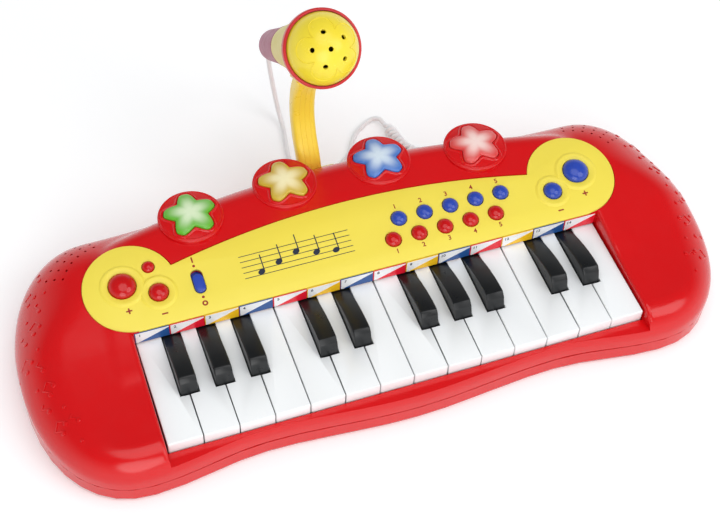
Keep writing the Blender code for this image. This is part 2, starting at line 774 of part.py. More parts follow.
def make_white_key(number):
    """One white key: notched for its black neighbours, hollow below, with a lug on the rod."""
    left = number * KEY_PITCH - BED_HALF
    right = left + KEY_PITCH
    notch = BLACK_WIDTH / 2 + KEY_SPACING
    front_left = left + KEY_SPACING / 2
    front_right = right - KEY_SPACING / 2
    rear_left = left + notch if number in sharp_lines() else front_left
    rear_right = right - notch if number + 1 in sharp_lines() else front_right
    shoulder = STRIP_Y - BLACK_LENGTH - KEY_SPACING
    lug_start = STRIP_Y + GAP
    lug_middle = (rear_left + rear_right) / 2
    lug_left = lug_middle - LUG_WIDTH / 2
    lug_right = lug_middle + LUG_WIDTH / 2
    rear = PIVOT_Y + LUG_END
    outline = [(front_left, KEY_FRONT_Y), (front_right, KEY_FRONT_Y)]
    if rear_right < front_right:
        outline += [(front_right, shoulder), (rear_right, shoulder)]
    outline += [(rear_right, lug_start), (lug_right, lug_start), (lug_right, rear)]
    outline += [(lug_left, rear), (lug_left, lug_start), (rear_left, lug_start)]
    if rear_left > front_left:
        outline += [(rear_left, shoulder), (front_left, shoulder)]
    key = prism(f'white_key_{number + 1:02d}', outline, KEY_TOP - KEY_DEPTH, KEY_TOP)
    pocket = box(
        'pocket',
        (rear_left + KEY_SKIN, KEY_FRONT_Y + KEY_SKIN, KEY_TOP - 2 * KEY_DEPTH),
        (rear_right - KEY_SKIN, STRIP_Y - KEY_SKIN, KEY_TOP - KEY_SKIN),
    )
    cut(key, pocket, rod_tool(left, right, ROD_RADIUS + ROD_FIT))
    set_origin(key, ((left + right) / 2, PIVOT_Y, PIVOT_HEIGHT))
    return finish(key, WHITE, 0.3)


def make_black_key(number, line):
    """One black key: low at the back, arching up to a bevelled front."""
    middle = line * KEY_PITCH - BED_HALF
    front = STRIP_Y - BLACK_LENGTH
    peak = front + BLACK_FRONT_LEAN + BLACK_BEVEL
    foot = KEY_TOP - KEY_DEPTH
    rear = PIVOT_Y + LUG_END
    profile = [(rear, foot), (front, foot), (front, KEY_TOP)]
    profile.append((front + BLACK_FRONT_LEAN, KEY_TOP + BLACK_HEIGHT - BLACK_BEVEL))
    run = STRIP_Y - GAP - peak
    for step in range(BLACK_STEPS + 1):
        share = step / BLACK_STEPS
        profile.append((peak + run * share, KEY_TOP + BLACK_HEIGHT * (1 - share**BLACK_ARCH)))
    profile.append((rear, KEY_TOP))
    sides = (middle - BLACK_WIDTH / 2, middle + BLACK_WIDTH / 2)
    rings = [[Vector((x, y, height)) for y, height in profile] for x in sides]
    key = loft(f'black_key_{number + 1:02d}', rings)
    cut(key, rod_tool(middle - BLACK_WIDTH, middle + BLACK_WIDTH, ROD_RADIUS + ROD_FIT))
    set_origin(key, (middle, PIVOT_Y, PIVOT_HEIGHT))
    return finish(key, BLACK, 0.35)


def key_bed(name, margin, floor):
    """The room above the ledge that the keys stand in, open to the front."""
    half = BED_HALF + BED_MARGIN + margin
    high = CROWN_HEIGHT + CASE_DEPTH
    return box(name, (-half, FRONT_Y - CASE_DEPTH, floor), (half, STRIP_Y + margin, high))


def make_upper_case():
    """The upper shell with its key bed, panel seat, star seats and posts for the main board."""
    shell = case_body('upper_case', 0.0, PARTING + GAP / 2, SEAT_FOOT)
    cut(shell, key_bed('bed', 0.0, LEDGE_HEIGHT))
    recess = prism('recess', panel_outline(GAP, -TOOL_REACH), PANEL_SEAT, TOOL_REACH)
    cut(shell, move_mesh(recess, panel_matrix()))

    hollow = case_body('hollow', WALL, PARTING - WALL, EDGE_HEIGHT)
    cut(hollow, key_bed('bed', WALL, LEDGE_HEIGHT - WALL))
    backing = prism('backing', panel_outline(WALL, -TOOL_REACH), BACKING_FACE, TOOL_REACH)
    cut(hollow, move_mesh(backing, panel_matrix()))
    cut(shell, hollow)

    half = BED_HALF + BED_MARGIN / 2
    well_low = (-half, KEY_FRONT_Y - BED_MARGIN, 0)
    well_high = (half, STRIP_Y + WALL / 2, LEDGE_HEIGHT + WALL)
    cut(shell, box('well', well_low, well_high))
    passage_low = (-half, STRIP_Y - WALL, 0)
    passage_high = (half, STRIP_Y + 2 * WALL, KEY_TOP + BED_MARGIN)
    cut(shell, box('passage', passage_low, passage_high))
    cut(shell, *button_holes())

    star_low = SEAT_EDGE - 3 * SEAT_WALL
    star_high = SEAT_EDGE + 2 * SEAT_WALL
    star_tools = []
    for x, y in BACK_STARS:
        tool = prism('star_hole', star_outline(SLIDE_FIT), star_low, star_high)
        star_tools.append(move_mesh(tool, Matrix.Translation((x, y, 0))))
    cut(shell, *star_tools)

    length = ((BOARD_POST_RADIUS, BOARD_TOP + GAP), (BOARD_POST_RADIUS, BACKING_FACE + BACKING / 2))
    for x in BOARD_POST_X:
        post = turned('post', length, POST_SIDES)
        add(shell, move_mesh(post, panel_matrix(x, BOARD_TO - 2 * BOARD_POST_RADIUS)))
    return finish(shell, RED, 0.3, smooth=35)


def make_lower_case():
    """The lower tray with its battery bay, rod posts, board posts and screw bosses."""
    def ring(inset, height):
        return [Vector((*point, height)) for point in inset_outline(inset)]

    rings = []
    for step in range(CAP_STEPS + 1):
        turn = math.pi / 2 * step / CAP_STEPS
        rings.append(ring(FOOT_ROUND * (1 - math.sin(turn)), FOOT_ROUND * (1 - math.cos(turn))))
    rings.append(ring(0.0, PARTING - GAP / 2))
    tray = loft('lower_case', rings)
    room = (
        ring(FOOT_ROUND + WALL / 2, WALL),
        ring(WALL, FOOT_ROUND + WALL / 2),
        ring(WALL, 2 * PARTING),
    )
    cut(tray, loft('room', room))

    door_low = BAY_FRONT - DOOR_MARGIN
    door_high = BAY_BACK + DOOR_MARGIN
    bay_low = (-DOOR_HALF - BAY_WALL, door_low - BAY_WALL, WALL / 2)
    bay_high = (DOOR_HALF + BAY_WALL, door_high + BAY_WALL, BAY_HEIGHT + BAY_WALL)
    add(tray, box('bay', bay_low, bay_high))
    for side in (-1, 1):
        middle = side * POST_MIDDLE
        post_low = (middle - POST_WIDTH / 2, PIVOT_Y - POST_WIDTH, WALL / 2)
        post_high = (middle + POST_WIDTH / 2, PIVOT_Y + POST_WIDTH, PIVOT_HEIGHT + POST_WIDTH)
        add(tray, box('post', post_low, post_high))
    board_middle = KEY_FRONT_Y + KEY_LENGTH / 2
    peg_profile = ((CONTACT_POST_RADIUS, WALL / 2), (CONTACT_POST_RADIUS, CONTACT_BOARD_HEIGHT - GAP))
    for x in CONTACT_POST_X:
        for y in (board_middle - CONTACT_BOARD_DEPTH / 3, board_middle + CONTACT_BOARD_DEPTH / 3):
            peg = turned('peg', peg_profile, POST_SIDES)
            add(tray, move_mesh(peg, Matrix.Translation((x, y, 0))))
    rim = SPEAKER_RADIUS + GAP + SPEAKER_RIM
    holder = turned('holder', ((rim, WALL / 2), (rim, HOLDER_HEIGHT)), SPEAKER_SIDES)
    add(tray, move_mesh(holder, Matrix.Translation((*SPEAKER_SPOT, 0))))
    boss_profile = ((SCREW_BOSS_RADIUS, WALL / 2), (SCREW_BOSS_RADIUS, BOSS_HEIGHT))
    for x, y in screw_spots():
        boss = turned('boss', boss_profile, BUTTON_SIDES)
        add(tray, move_mesh(boss, Matrix.Translation((x, y, 0))))
    add(tray, cord_gland())

    seat = SPEAKER_RADIUS + GAP
    speaker_room = turned('speaker_room', ((seat, WALL), (seat, 2 * SPEAKER_RADIUS)), SPEAKER_SIDES)
    tools = [move_mesh(speaker_room, Matrix.Translation((*SPEAKER_SPOT, 0)))]
    tools.append(rod_tool(-CASE_HALF, CASE_HALF, ROD_RADIUS + ROD_FIT))
    sink_profile = ((SCREW_HEAD_RADIUS, -WALL), (SCREW_HEAD_RADIUS, SCREW_HEAD_DEPTH))
    for x, y in screw_spots():
        sink = turned('sink', sink_profile, BUTTON_SIDES)
        tools.append(move_mesh(sink, Matrix.Translation((x, y, 0))))
    cut(tray, *tools)
    room_low = (-DOOR_HALF - GAP, door_low - GAP, -WALL)
    room_high = (DOOR_HALF + GAP, door_high + GAP, DOOR_THICKNESS + GAP)
    cut(tray, box('door_room', room_low, room_high))
    cells_low = (-BAY_LENGTH / 2, BAY_FRONT, 0)
    cells_high = (BAY_LENGTH / 2, BAY_BACK, BAY_HEIGHT)
    cut(tray, box('cells', cells_low, cells_high))
    return finish(tray, RED, 0.35, smooth=35)


def screw_spots():
    """Screw places under the lobes and along the back, on both sides."""
    return [(side * x, y) for side in (-1, 1) for x, y in SCREW_SPOTS]


def make_battery_door():
    """The door of the battery bay, hinged along its back edge."""
    low = (-DOOR_HALF, BAY_FRONT - DOOR_MARGIN, 0)
    high = (DOOR_HALF, BAY_BACK + DOOR_MARGIN, DOOR_THICKNESS)
    door = box('battery_door', low, high)
    set_origin(door, (0, BAY_BACK + DOOR_MARGIN, 0))
    return finish(door, RED, 0.4)


def make_inner_pieces():
    """The pivot rod, both circuit boards and the loudspeaker."""
    reach = POST_MIDDLE + POST_WIDTH / 2 - GAP
    rod = rod_tool(-reach, reach, ROD_RADIUS)
    rod.name = 'key_pivot_rod'
    finish(rod, STEEL, 0.25, 1.0, smooth=40)

    board = box(
        'main_board',
        (-BOARD_HALF_LENGTH, BOARD_FROM, BOARD_TOP - BOARD_THICKNESS),
        (BOARD_HALF_LENGTH, BOARD_TO, BOARD_TOP),
    )
    board.matrix_world = panel_matrix()
    finish(board, BOARD_GREEN, 0.5)

    middle = KEY_FRONT_Y + KEY_LENGTH / 2
    contacts = box(
        'key_contact_board',
        (-BED_HALF, middle - CONTACT_BOARD_DEPTH / 2, CONTACT_BOARD_HEIGHT),
        (BED_HALF, middle + CONTACT_BOARD_DEPTH / 2, CONTACT_BOARD_HEIGHT + BOARD_THICKNESS),
    )
    finish(contacts, BOARD_GREEN, 0.5)

    foot = WALL + GAP
    top = foot + SPEAKER_HEIGHT
    profile = (
        (MAGNET_RADIUS, foot),
        (MAGNET_RADIUS, foot + MAGNET_HEIGHT),
        (SPEAKER_RADIUS, top - SPEAKER_RIM_HEIGHT),
        (SPEAKER_RADIUS, top),
        (CONE_RADIUS, top),
        (CONE_FLOOR_RADIUS, top - CONE_DEPTH),
    )
    speaker = turned('speaker', profile, SPEAKER_SIDES)
    speaker.location = (*SPEAKER_SPOT, 0)
    finish(speaker, BLACK, 0.5, smooth=40)


def mic_matrix():
    """Placement of the microphone: its own Z runs from the tail to the grille."""
    tilt = Matrix.Rotation(math.pi / 2 - MIC_TILT, 4, 'X')
    return Matrix.Translation(MIC_PLACE) @ tilt


def handle_radius(back):
    """Outer radius of the handle at a distance behind the ring."""
    share = (back - RING_BACK) / HANDLE_LENGTH
    return HANDLE_FRONT + (HANDLE_REAR - HANDLE_FRONT) * share


def make_microphone():
    """The microphone: a domed grille in a ring, a tapered handle and a tail cap."""
    holder = bpy.data.objects.new('microphone', None)
    holder.matrix_world = mic_matrix()
    bpy.context.scene.collection.objects.link(holder)
    for piece in (make_mic_ring(), make_mic_grille(), make_mic_handle(), make_mic_tail()):
        piece.parent = holder


def make_mic_ring():
    seat = RING_RADIUS - RING_BAND
    bore = HANDLE_FRONT - MIC_WALL
    rear = -RING_BACK + GAP
    profile = (
        (bore, rear),
        (RING_RADIUS - RING_ROUND, rear),
        (RING_RADIUS, rear + RING_ROUND),
        (RING_RADIUS, RING_FRONT - RING_ROUND),
        (RING_RADIUS - RING_ROUND, RING_FRONT),
        (seat, RING_FRONT),
        (seat, 0.0),
        (bore, 0.0),
    )
    ring = turned('microphone_ring', profile, MIC_SIDES, ring_closed=True)
    return finish(ring, RED, 0.28, smooth=40)


def make_mic_grille():
    """A thin dome with one hole in the middle and five round it."""
    radius = RING_RADIUS - RING_BAND - GAP
    dome = []
    for skin in (MIC_WALL, 0.0):
        curve = []
        for step in range(GRILLE_STEPS + 1):
            turn = GRILLE_TURN * step / GRILLE_STEPS
            height = GAP + (GRILLE_HEIGHT - skin) * math.sin(turn)
            curve.append(((radius - skin) * math.cos(turn), height))
        dome += reversed(curve) if skin else curve
    grille = turned('microphone_grille', dome, MIC_SIDES)
    tools = []
    for number in range(GRILLE_HOLES + 1):
        hole_profile = ((GRILLE_HOLE, GRILLE_HEIGHT / 2), (GRILLE_HOLE, 2 * GRILLE_HEIGHT))
        hole = turned('hole', hole_profile, POST_SIDES)
        if number:
            angle = GRILLE_HOLE_START + math.tau * number / GRILLE_HOLES
            spot = (GRILLE_HOLE_SPREAD * math.cos(angle), GRILLE_HOLE_SPREAD * math.sin(angle), 0)
            move_mesh(hole, Matrix.Translation(spot))
        tools.append(hole)
    cut(grille, *tools)
    return finish(grille, YELLOW, 0.35, smooth=40)


def saddle_peg(fit, from_y, to_y):
    """A round bar across the microphone, on the arm's side, in the microphone's own frame."""
    radius = PEG_RADIUS + fit
    bar = turned('peg', ((radius, from_y), (radius, to_y)), POST_SIDES)
    turn = Matrix.Rotation(-math.pi / 2, 4, 'X')
    return move_mesh(bar, Matrix.Translation((0, 0, -SADDLE_AT)) @ turn)


def make_mic_handle():
    """A tapered tube with a hole on its underside for the arm's peg."""
    front = -RING_BACK
    rear = front - HANDLE_LENGTH
    profile = (
        (HANDLE_FRONT, front),
        (HANDLE_REAR, rear),
        (HANDLE_REAR - MIC_WALL, rear),
        (HANDLE_FRONT - MIC_WALL, front),
    )
    handle = turned('microphone_handle', profile, MIC_SIDES, ring_closed=True)
    cut(handle, saddle_peg(SLIDE_FIT, -2 * HANDLE_FRONT, -HANDLE_REAR / 2))
    return finish(handle, YELLOW, 0.35, smooth=40)


def make_mic_tail():
    """A tapered cap with a round end, hollow from the front."""
    end = TAIL_START - TAIL_LENGTH
    profile = [
        (HANDLE_REAR - 3 * MIC_WALL, TAIL_START),
        (HANDLE_REAR, TAIL_START),
        (HANDLE_REAR, TAIL_START - TAIL_COLLAR),
    ]
    for step in range(CAP_STEPS + 1):
        turn = math.pi / 2 * step / CAP_STEPS
        radius = TAIL_END - TAIL_ROUND * (1 - math.cos(turn))
        profile.append((radius, end + TAIL_ROUND * (1 - math.sin(turn))))
    tail = turned('microphone_tail', profile, MIC_SIDES)
    bore = TAIL_END - 2 * MIC_WALL
    cut(tail, turned('pocket', ((bore, TAIL_START + TAIL_END), (bore, end + TAIL_END)), MIC_SIDES))
    return finish(tail, RED, 0.3, smooth=40)


def mic_tail_end():
    """The middle of the tail's end face, where the cord leaves."""
    return mic_matrix() @ Vector((0, 0, TAIL_START - TAIL_LENGTH))


def rounded_section(width, thickness):
    """A rectangle with cut corners, across and through."""
    points = []
    for across, through in ((1, -1), (1, 1), (-1, 1), (-1, -1)):
        near = (across * (width / 2 - ARM_ROUND), through * thickness / 2)
        side = (across * width / 2, through * (thickness / 2 - ARM_ROUND))
        points += [near, side] if across * through < 0 else [side, near]
    return points


def make_saddle():
    """The arm's shallow saddle under the handle, in the microphone's own frame."""
    rings = []
    for step in range(SADDLE_STEPS + 1):
        angle = 1.5 * math.pi + SADDLE_TURN * (2 * step / SADDLE_STEPS - 1)
        ring = []
        for end, wall in ((-1, -SADDLE_WALL), (-1, SADDLE_WALL), (1, SADDLE_WALL), (1, -SADDLE_WALL)):
            along = end * SADDLE_WIDTH / 2 - SADDLE_AT
            reach = handle_radius(-along) + wall
            ring.append(Vector((reach * math.cos(angle), reach * math.sin(angle), along)))
        rings.append(ring)
    return loft('microphone_arm', rings)


def make_stem():
    """The bowed stem from the base up to the saddle."""
    top = mic_matrix() @ Vector((0, -handle_radius(SADDLE_AT) - SADDLE_WALL / 2, -SADDLE_AT))
    route = [Vector((BACK_Y + behind, height)) for behind, height in ARM_ROUTE]
    path = spline(route + [Vector((top.y, top.z))])
    rings = []
    for here, point in enumerate(path):
        along = path[min(here + 1, len(path) - 1)] - path[max(here - 1, 0)]
        side = Vector((along.y, -along.x)).normalized()
        ring = []
        for across, through in rounded_section(ARM_WIDTH, ARM_THICKNESS):
            spot = point + side * through
            ring.append(Vector((MIC_X + across, spot.x, spot.y)))
        rings.append(ring)
    return loft('stem', rings)


def make_arm():
    """The arm: a base on the back of the case, a bowed stem, and a saddle with a peg."""
    arm = move_mesh(make_saddle(), mic_matrix())
    add(arm, make_stem())
    front = -RING_BACK
    rear = front - HANDLE_LENGTH
    room = turned('room', ((HANDLE_FRONT + SLIDE_FIT, front), (HANDLE_REAR + SLIDE_FIT, rear)), MIC_SIDES)
    cut(arm, move_mesh(room, mic_matrix()))
    radius = handle_radius(SADDLE_AT)
    peg = saddle_peg(0.0, -radius - SADDLE_WALL / 2, -radius + PEG_REACH)
    add(arm, move_mesh(peg, mic_matrix()))
    low = (MIC_X - ARM_BASE_WIDTH / 2, BACK_Y - 2 * CROWN_ROLL, ARM_BASE_FOOT)
    high = (MIC_X + ARM_BASE_WIDTH / 2, BACK_Y + ARM_BASE_REACH, ARM_BASE_TOP)
    add(arm, box('base', low, high))
    cut(arm, case_body('clearance', -GAP, -WALL, -WALL))
    return finish(arm, ARM_YELLOW, 0.35, smooth=40)


def cord_gland():
    """The moulded collar on the back wall that the cord goes into."""
    collar = turned('gland', ((GLAND_RADIUS, -WALL / 2), (GLAND_TIP, GLAND_REACH)), BUTTON_SIDES)
    turn = Matrix.Rotation(-math.pi / 2, 4, 'X')
    return move_mesh(collar, Matrix.Translation((GLAND_X, gland_wall(), GLAND_HEIGHT)) @ turn)


def gland_wall():
    """Depth of the back wall at the gland."""
    return BACK_Y - wave(BACK_DROP, 0.0, 1 - GLAND_X / LOBE_X)


def tube(name, points, radius, colour, resolution=2):
    """A cord as a curve with a round bevel and closed ends."""
    data = bpy.data.curves.new(name, 'CURVE')
    data.dimensions = '3D'
    data.bevel_depth = radius
    data.bevel_resolution = resolution
    data.use_fill_caps = True
    line = data.splines.new('POLY')
    line.points.add(len(points) - 1)
    for vertex, point in zip(line.points, points):
        vertex.co = (*point, 1.0)
    item = bpy.data.objects.new(name, data)
    bpy.context.scene.collection.objects.link(item)
    data.materials.append(plastic(name + '_finish', colour, 0.45))
    return item


# Route of the cord as it lies on the table: across, behind the case's back edge, and up
LEAD_ROUTE = (
    (-8.8 * MM, 80.5 * MM, 56.5 * MM),
    (-8.2 * MM, 81.7 * MM, 43.0 * MM),
    (-7.0 * MM, 79.5 * MM, 29.0 * MM),
    (-5.8 * MM, 76.1 * MM, 15.5 * MM),
    (-5.0 * MM, 70.5 * MM, 5.6 * MM),
    (-5.2 * MM, 62.5 * MM, CORD_LIE),
    (-7.4 * MM, 50.7 * MM, CORD_LIE),
    (-9.2 * MM, 38.0 * MM, CORD_LIE),
    (-6.4 * MM, 25.7 * MM, CORD_LIE),
    (4.6 * MM, 19.5 * MM, CORD_LIE),
    (17.6 * MM, 22.5 * MM, CORD_LIE),
    (27.4 * MM, 30.5 * MM, CORD_LIE),
    (32.8 * MM, 39.3 * MM, CORD_LIE),
    (38.0 * MM, 46.1 * MM, CORD_LIE),
    (43.6 * MM, 50.3 * MM, CORD_LIE),
    (48.4 * MM, 52.7 * MM, 2.1 * MM),
    (52.4 * MM, 53.0 * MM, 3.0 * MM),
)
COIL_ROUTE = (
    (56.7 * MM, 46.1 * MM),
    (58.7 * MM, 38.5 * MM),
    (60.1 * MM, 29.9 * MM),
    (63.4 * MM, 20.9 * MM),
    (71.2 * MM, 14.1 * MM),
    (82.5 * MM, 11.1 * MM),
    (96.0 * MM, 10.5 * MM),
)
END_ROUTE = (
    (104.0 * MM, 10.5 * MM, 3.6 * MM),
    (111.5 * MM, 10.1 * MM, 3.9 * MM),
    (118.5 * MM, 7.3 * MM, 5.0 * MM),
)


def make_cord():
    """The microphone cord: a straight lead, a curly stretch and a short lead into the case."""
    tail_end = mic_tail_end()
    outward = (mic_matrix().to_3x3() @ Vector((0, 0, -1))).normalized()
    coil = [Vector((x, BACK_Y + behind, COIL_LIE)) for x, behind in COIL_ROUTE]
    coil_in = (coil[0] - coil[1]).normalized()
    coil_out = (coil[-1] - coil[-2]).normalized()
    lead = [tail_end + outward * GAP, tail_end + outward * 4 * CORD_RADIUS]
    lead += [Vector((x, BACK_Y + behind, height)) for x, behind, height in LEAD_ROUTE]
    lead += [coil[0] + coil_in * 3 * CORD_RADIUS, coil[0] + coil_in * GAP]
    tube('microphone_cord', spline(lead), CORD_RADIUS, WHITE)
    tube('microphone_cord_coil', spline(coil), COIL_RADIUS, WHITE, 3)
    mouth = Vector((GLAND_X, gland_wall() + GLAND_REACH + GAP, GLAND_HEIGHT))
    end = [coil[-1] + coil_out * GAP]
    end += [Vector((x, BACK_Y + behind, height)) for x, behind, height in END_ROUTE]
    end += [mouth + Vector((0, 3 * CORD_RADIUS, 0)), mouth]
    tube('microphone_cord_end', spline(end), CORD_RADIUS, WHITE)


def main():
    clear_scene()
    make_upper_case()
    make_lower_case()
    make_panel()
    make_battery_door()
    make_inner_pieces()
    for name, spot, radius, stand, colour, _ in button_list():
        make_button(name, spot, radius, stand, colour)
    make_switch()
    for number, (place, colour) in enumerate(zip(BACK_STARS, STAR_COLOURS)):
        make_star(f'star_pad_{number + 1}', place, colour)
    for number in range(WHITE_KEYS):
        make_white_key(number)
    for number, line in enumerate(sharp_lines()):
        make_black_key(number, line)
    make_microphone()
    make_arm()
    make_cord()


main()
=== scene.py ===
import math

import bmesh
import bpy
from mathutils import Matrix, Vector
from mathutils.geometry import intersect_point_line
from mathutils.kdtree import KDTree


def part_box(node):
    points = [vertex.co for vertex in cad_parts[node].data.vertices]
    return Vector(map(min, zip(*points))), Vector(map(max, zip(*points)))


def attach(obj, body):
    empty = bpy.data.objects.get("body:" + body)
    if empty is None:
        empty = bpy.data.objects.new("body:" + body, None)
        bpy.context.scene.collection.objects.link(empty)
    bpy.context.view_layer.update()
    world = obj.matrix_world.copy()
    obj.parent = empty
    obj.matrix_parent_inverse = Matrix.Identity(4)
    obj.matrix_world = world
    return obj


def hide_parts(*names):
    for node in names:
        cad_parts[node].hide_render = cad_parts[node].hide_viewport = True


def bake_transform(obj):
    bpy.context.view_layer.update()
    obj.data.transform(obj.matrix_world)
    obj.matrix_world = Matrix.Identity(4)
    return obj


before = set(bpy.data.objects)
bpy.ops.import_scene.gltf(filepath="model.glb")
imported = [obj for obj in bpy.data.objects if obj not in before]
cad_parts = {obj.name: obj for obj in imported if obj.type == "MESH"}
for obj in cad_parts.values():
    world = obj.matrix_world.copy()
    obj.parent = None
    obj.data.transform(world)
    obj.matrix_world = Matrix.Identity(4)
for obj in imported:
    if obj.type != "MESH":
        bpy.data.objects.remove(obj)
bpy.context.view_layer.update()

# Lengths are in millimetres; a finished mesh is brought to metres when its piece is added.
MM = 0.001

# Fits
GAP = 0.3
SLIDE_FIT = 0.4
WALL = 2.5

# Fineness of the round shapes
CURVE_STEPS = 6
COIL_POINTS = 14
CASE_COLUMNS = 150
CASE_ROWS = 60
ROOM_COLUMNS = 64
ROOM_ROWS = 24
OUTLINE_STEPS = 900
BED_STEPS = 40
RIM_STEPS = 4
RIM_TURN = math.radians(60)
PANEL_ARC_STEPS = 56
PANEL_ARCH_STEPS = 40
NOTCH_FINENESS = 1e-9
PILL_STEPS = 12
STAR_STEPS = 90
BUTTON_SIDES = 48
HOLE_SIDES = 32
ROUND_SPOT_SIDES = 10
ROUND_LINE_SIDES = 24
SEAT_ROUND_STEPS = 3
RING_ROUND_STEPS = 4
MIC_SIDES = 72
GRILLE_STEPS = 14
CORD_BEVEL_STEPS = 4
# Distance at which two points count as one, and the turn past which a CAD edge counts as sharp
WELD = 0.001
SHARP = math.radians(30)
SHARP_ON_BLACK = math.radians(20)

# Camera and stage
CAMERA_PLACE = (-189.7, -456.9, 680.0)
CAMERA_LENS = 72.4655
CAMERA_SENSOR = 36.0
CAMERA_ELEVATION = math.radians(52.09)
CAMERA_AZIMUTH = math.radians(-21.84)
CAMERA_ROLL = math.radians(2.972)
FLOOR_SIZE = 6000.0
FLOOR_DROP = 0.2

# Keys
KEY_PITCH = 19.5
WHITE_KEYS = 14
BLACK_KEYS = 10
KEY_TOP = 29.3
KEY_LENGTH = 66.5
KEY_SETBACK = 10.9
WHITE_EDGE = 0.6
BLACK_EDGE = 0.9

# Control panel
PANEL_HEIGHT = 39.2
PANEL_TILT = math.radians(12)
PANEL_THICKNESS = 1.5
PANEL_EDGE = 0.35
BACKING = 1.6
PANEL_LOBE_X = 131.6
PANEL_LOBE_RISE = 26.4
PANEL_LOBE_RADIUS = 26.0
PANEL_BACK = 46.0
PANEL_BACK_CURVE = 479.0

# Case
CROWN_DEPTH = 42.6
PARTING = 11.7
PARTING_LINE = 0.6
EDGE_HEIGHT = 16.6
BACK_EDGE_HEIGHT = 13.4
LEDGE_HEIGHT = 22.3
ROLL_FRONT = 14.0
ROLL_SIDE = 26.0
ROLL_BACK = 50.5
ROLL_EASE = 43.0
ROLL_FULLNESS = 1.87
CROWN_HEIGHT = 50.8
CROWN_ROLL = 23.4
CROWN_CURVE = 1012.0
CROWN_HALF = 155.5
CREST_BLEND = 4.0
CROWN_BLEND = 2.0
BED_MARGIN = 0.8
BED_RIM = 1.8
LOBE_SETBACK = 10.5
LOBE_REACH = 53.9
LOBE_FULLNESS = 2.24
FRONT_TROUGH_X = 84.0
FRONT_TROUGH = 6.5
FRONT_MIDDLE = 1.4
BACK_DROP = 7.5
TOOL_REACH = 20.0

# Buttons
COLLAR_HEIGHT = 0.9
COLLAR_MARGIN = 4.9
BUTTON_FLANGE = 1.2
BUTTON_GRIP = 1.5
ROW_COUNT = 5
ROW_PITCH = 15.67
VOICE_ROW = (24.6, 27.3)
RHYTHM_ROW = (17.2, 15.4)
ROW_RADIUS = 4.5
ROW_STAND = 3.0
LARGE_SPOT = (135.5, 28.7)
LARGE_RADIUS = 7.5
LARGE_STAND = 4.4
SMALL_SPOT = (117.4, 19.9)
SMALL_RADIUS = 5.3
SMALL_STAND = 3.6
EFFECT_SPOT = (-119.0, 36.2)
EFFECT_RADIUS = 3.3
EFFECT_STAND = 2.4
SWITCH_SPOT = (-95.0, 20.3)
SWITCH_WIDTH = 6.0
SWITCH_LENGTH = 11.2
SWITCH_TRAVEL = 3.0
SWITCH_STAND = 1.6

# Star pads and their seats
SEAT_RADIUS = 18.6
SEAT_EDGE = 51.2
SEAT_RISE = 2.8
SEAT_WALL = 2.2
SEAT_FOOT = 24.0
SEAT_ROUND = 0.7
STAR_MIDDLE_X = -1.9
STAR_OUTER = (86.1, 27.9)
STAR_INNER = (28.7, 20.7)
STAR_TIP = 15.0
STAR_POINT = 24.0
STAR_NOTCH = 9.6
STAR_LOBES = 5
STAR_BLUNTNESS = 3.5
STAR_STAND = 1.3
STAR_FLANGE = 1.0

# Microphone and arm
MIC_X = -8.8
MIC_SETBACK = 19.3
MIC_HEIGHT = 149.0
MIC_TILT = math.radians(41.6)
MIC_WALL = 1.6
RING_RADIUS = 21.2
RING_BAND = 1.5
RING_BACK = 3.2
RING_FRONT = 2.2
RING_ROUND = 0.9
GRILLE_HEIGHT = 19.5
GRILLE_HOLE = 1.35
GRILLE_DIMPLE = 2.6
GRILLE_DIMPLE_DEPTH = 0.35
GRILLE_HOLE_SPREAD = 9.6
GRILLE_HOLES = 5
GRILLE_HOLE_START = math.radians(100)
FLOWER_LEAN = (math.radians(26), math.radians(58))
FLOWER_LINE = 0.3
FLOWER_STEPS = 120
FLOWER_SIDES = 6
HANDLE_LENGTH = 66.5
HANDLE_FRONT = 18.6
HANDLE_REAR = 12.1
TAIL_LENGTH = 48.4
TAIL_END = 9.6
TAIL_COLLAR = 2.9
TAIL_ROUND = 3.8
SADDLE_AT = 46.0
SADDLE_WIDTH = 14.0
SADDLE_WALL = 3.2
SADDLE_TURN = math.radians(30)
PEG_RADIUS = 3.0
PEG_REACH = 3.5
ARM_WIDTH = 13.8
ARM_THICKNESS = 9.0
ARM_ROUND = 2.7
ARM_BASE_WIDTH = 34.0
ARM_BASE_FOOT = 18.0
ARM_BASE_TOP = 31.0
ARM_BASE_REACH = 2.5
ARM_ROUTE = ((-2.0, 28.0), (2.5, 39.8), (10.1, 53.5), (14.1, 69.5), (11.9, 88.5))

# Screws of the underside
LOBE_SCREW = (171.0, 33.1)
BACK_SCREW = (95.1, 18.4)
SCREW_RADIUS = 3.2
SCREW_DEPTH = 7.0

# Microphone cord: across, behind the case's back edge, and up
CORD_RADIUS = 1.5
CORD_LIE = 1.7
COIL_TURN_RADIUS = 2.4
COIL_PITCH = 3.4
COIL_LIE = 3.9
COIL_RUN_IN = 7.0
GLAND_X = 122.0
GLAND_HEIGHT = 5.6
GLAND_REACH = 5.0
LEAD_ROUTE = (
    (-8.8, 80.5, 56.5),
    (-8.2, 81.7, 43.0),
    (-7.0, 79.5, 29.0),
    (-5.8, 76.1, 15.5),
    (-5.0, 70.5, 5.6),
    (-5.2, 62.5, CORD_LIE),
    (-7.4, 50.7, CORD_LIE),
    (-9.2, 38.0, CORD_LIE),
    (-6.4, 25.7, CORD_LIE),
    (4.6, 19.5, CORD_LIE),
    (17.6, 22.5, CORD_LIE),
    (27.4, 30.5, CORD_LIE),
    (32.8, 39.3, CORD_LIE),
    (38.0, 46.1, CORD_LIE),
    (43.6, 50.3, CORD_LIE),
    (48.4, 52.7, 2.1),
    (52.4, 53.0, 3.0),
)
COIL_ROUTE = (
    (56.7, 46.1),
    (58.7, 38.5),
    (60.1, 29.9),
    (63.4, 20.9),
    (71.2, 14.1),
    (82.5, 11.1),
    (96.0, 10.5),
)
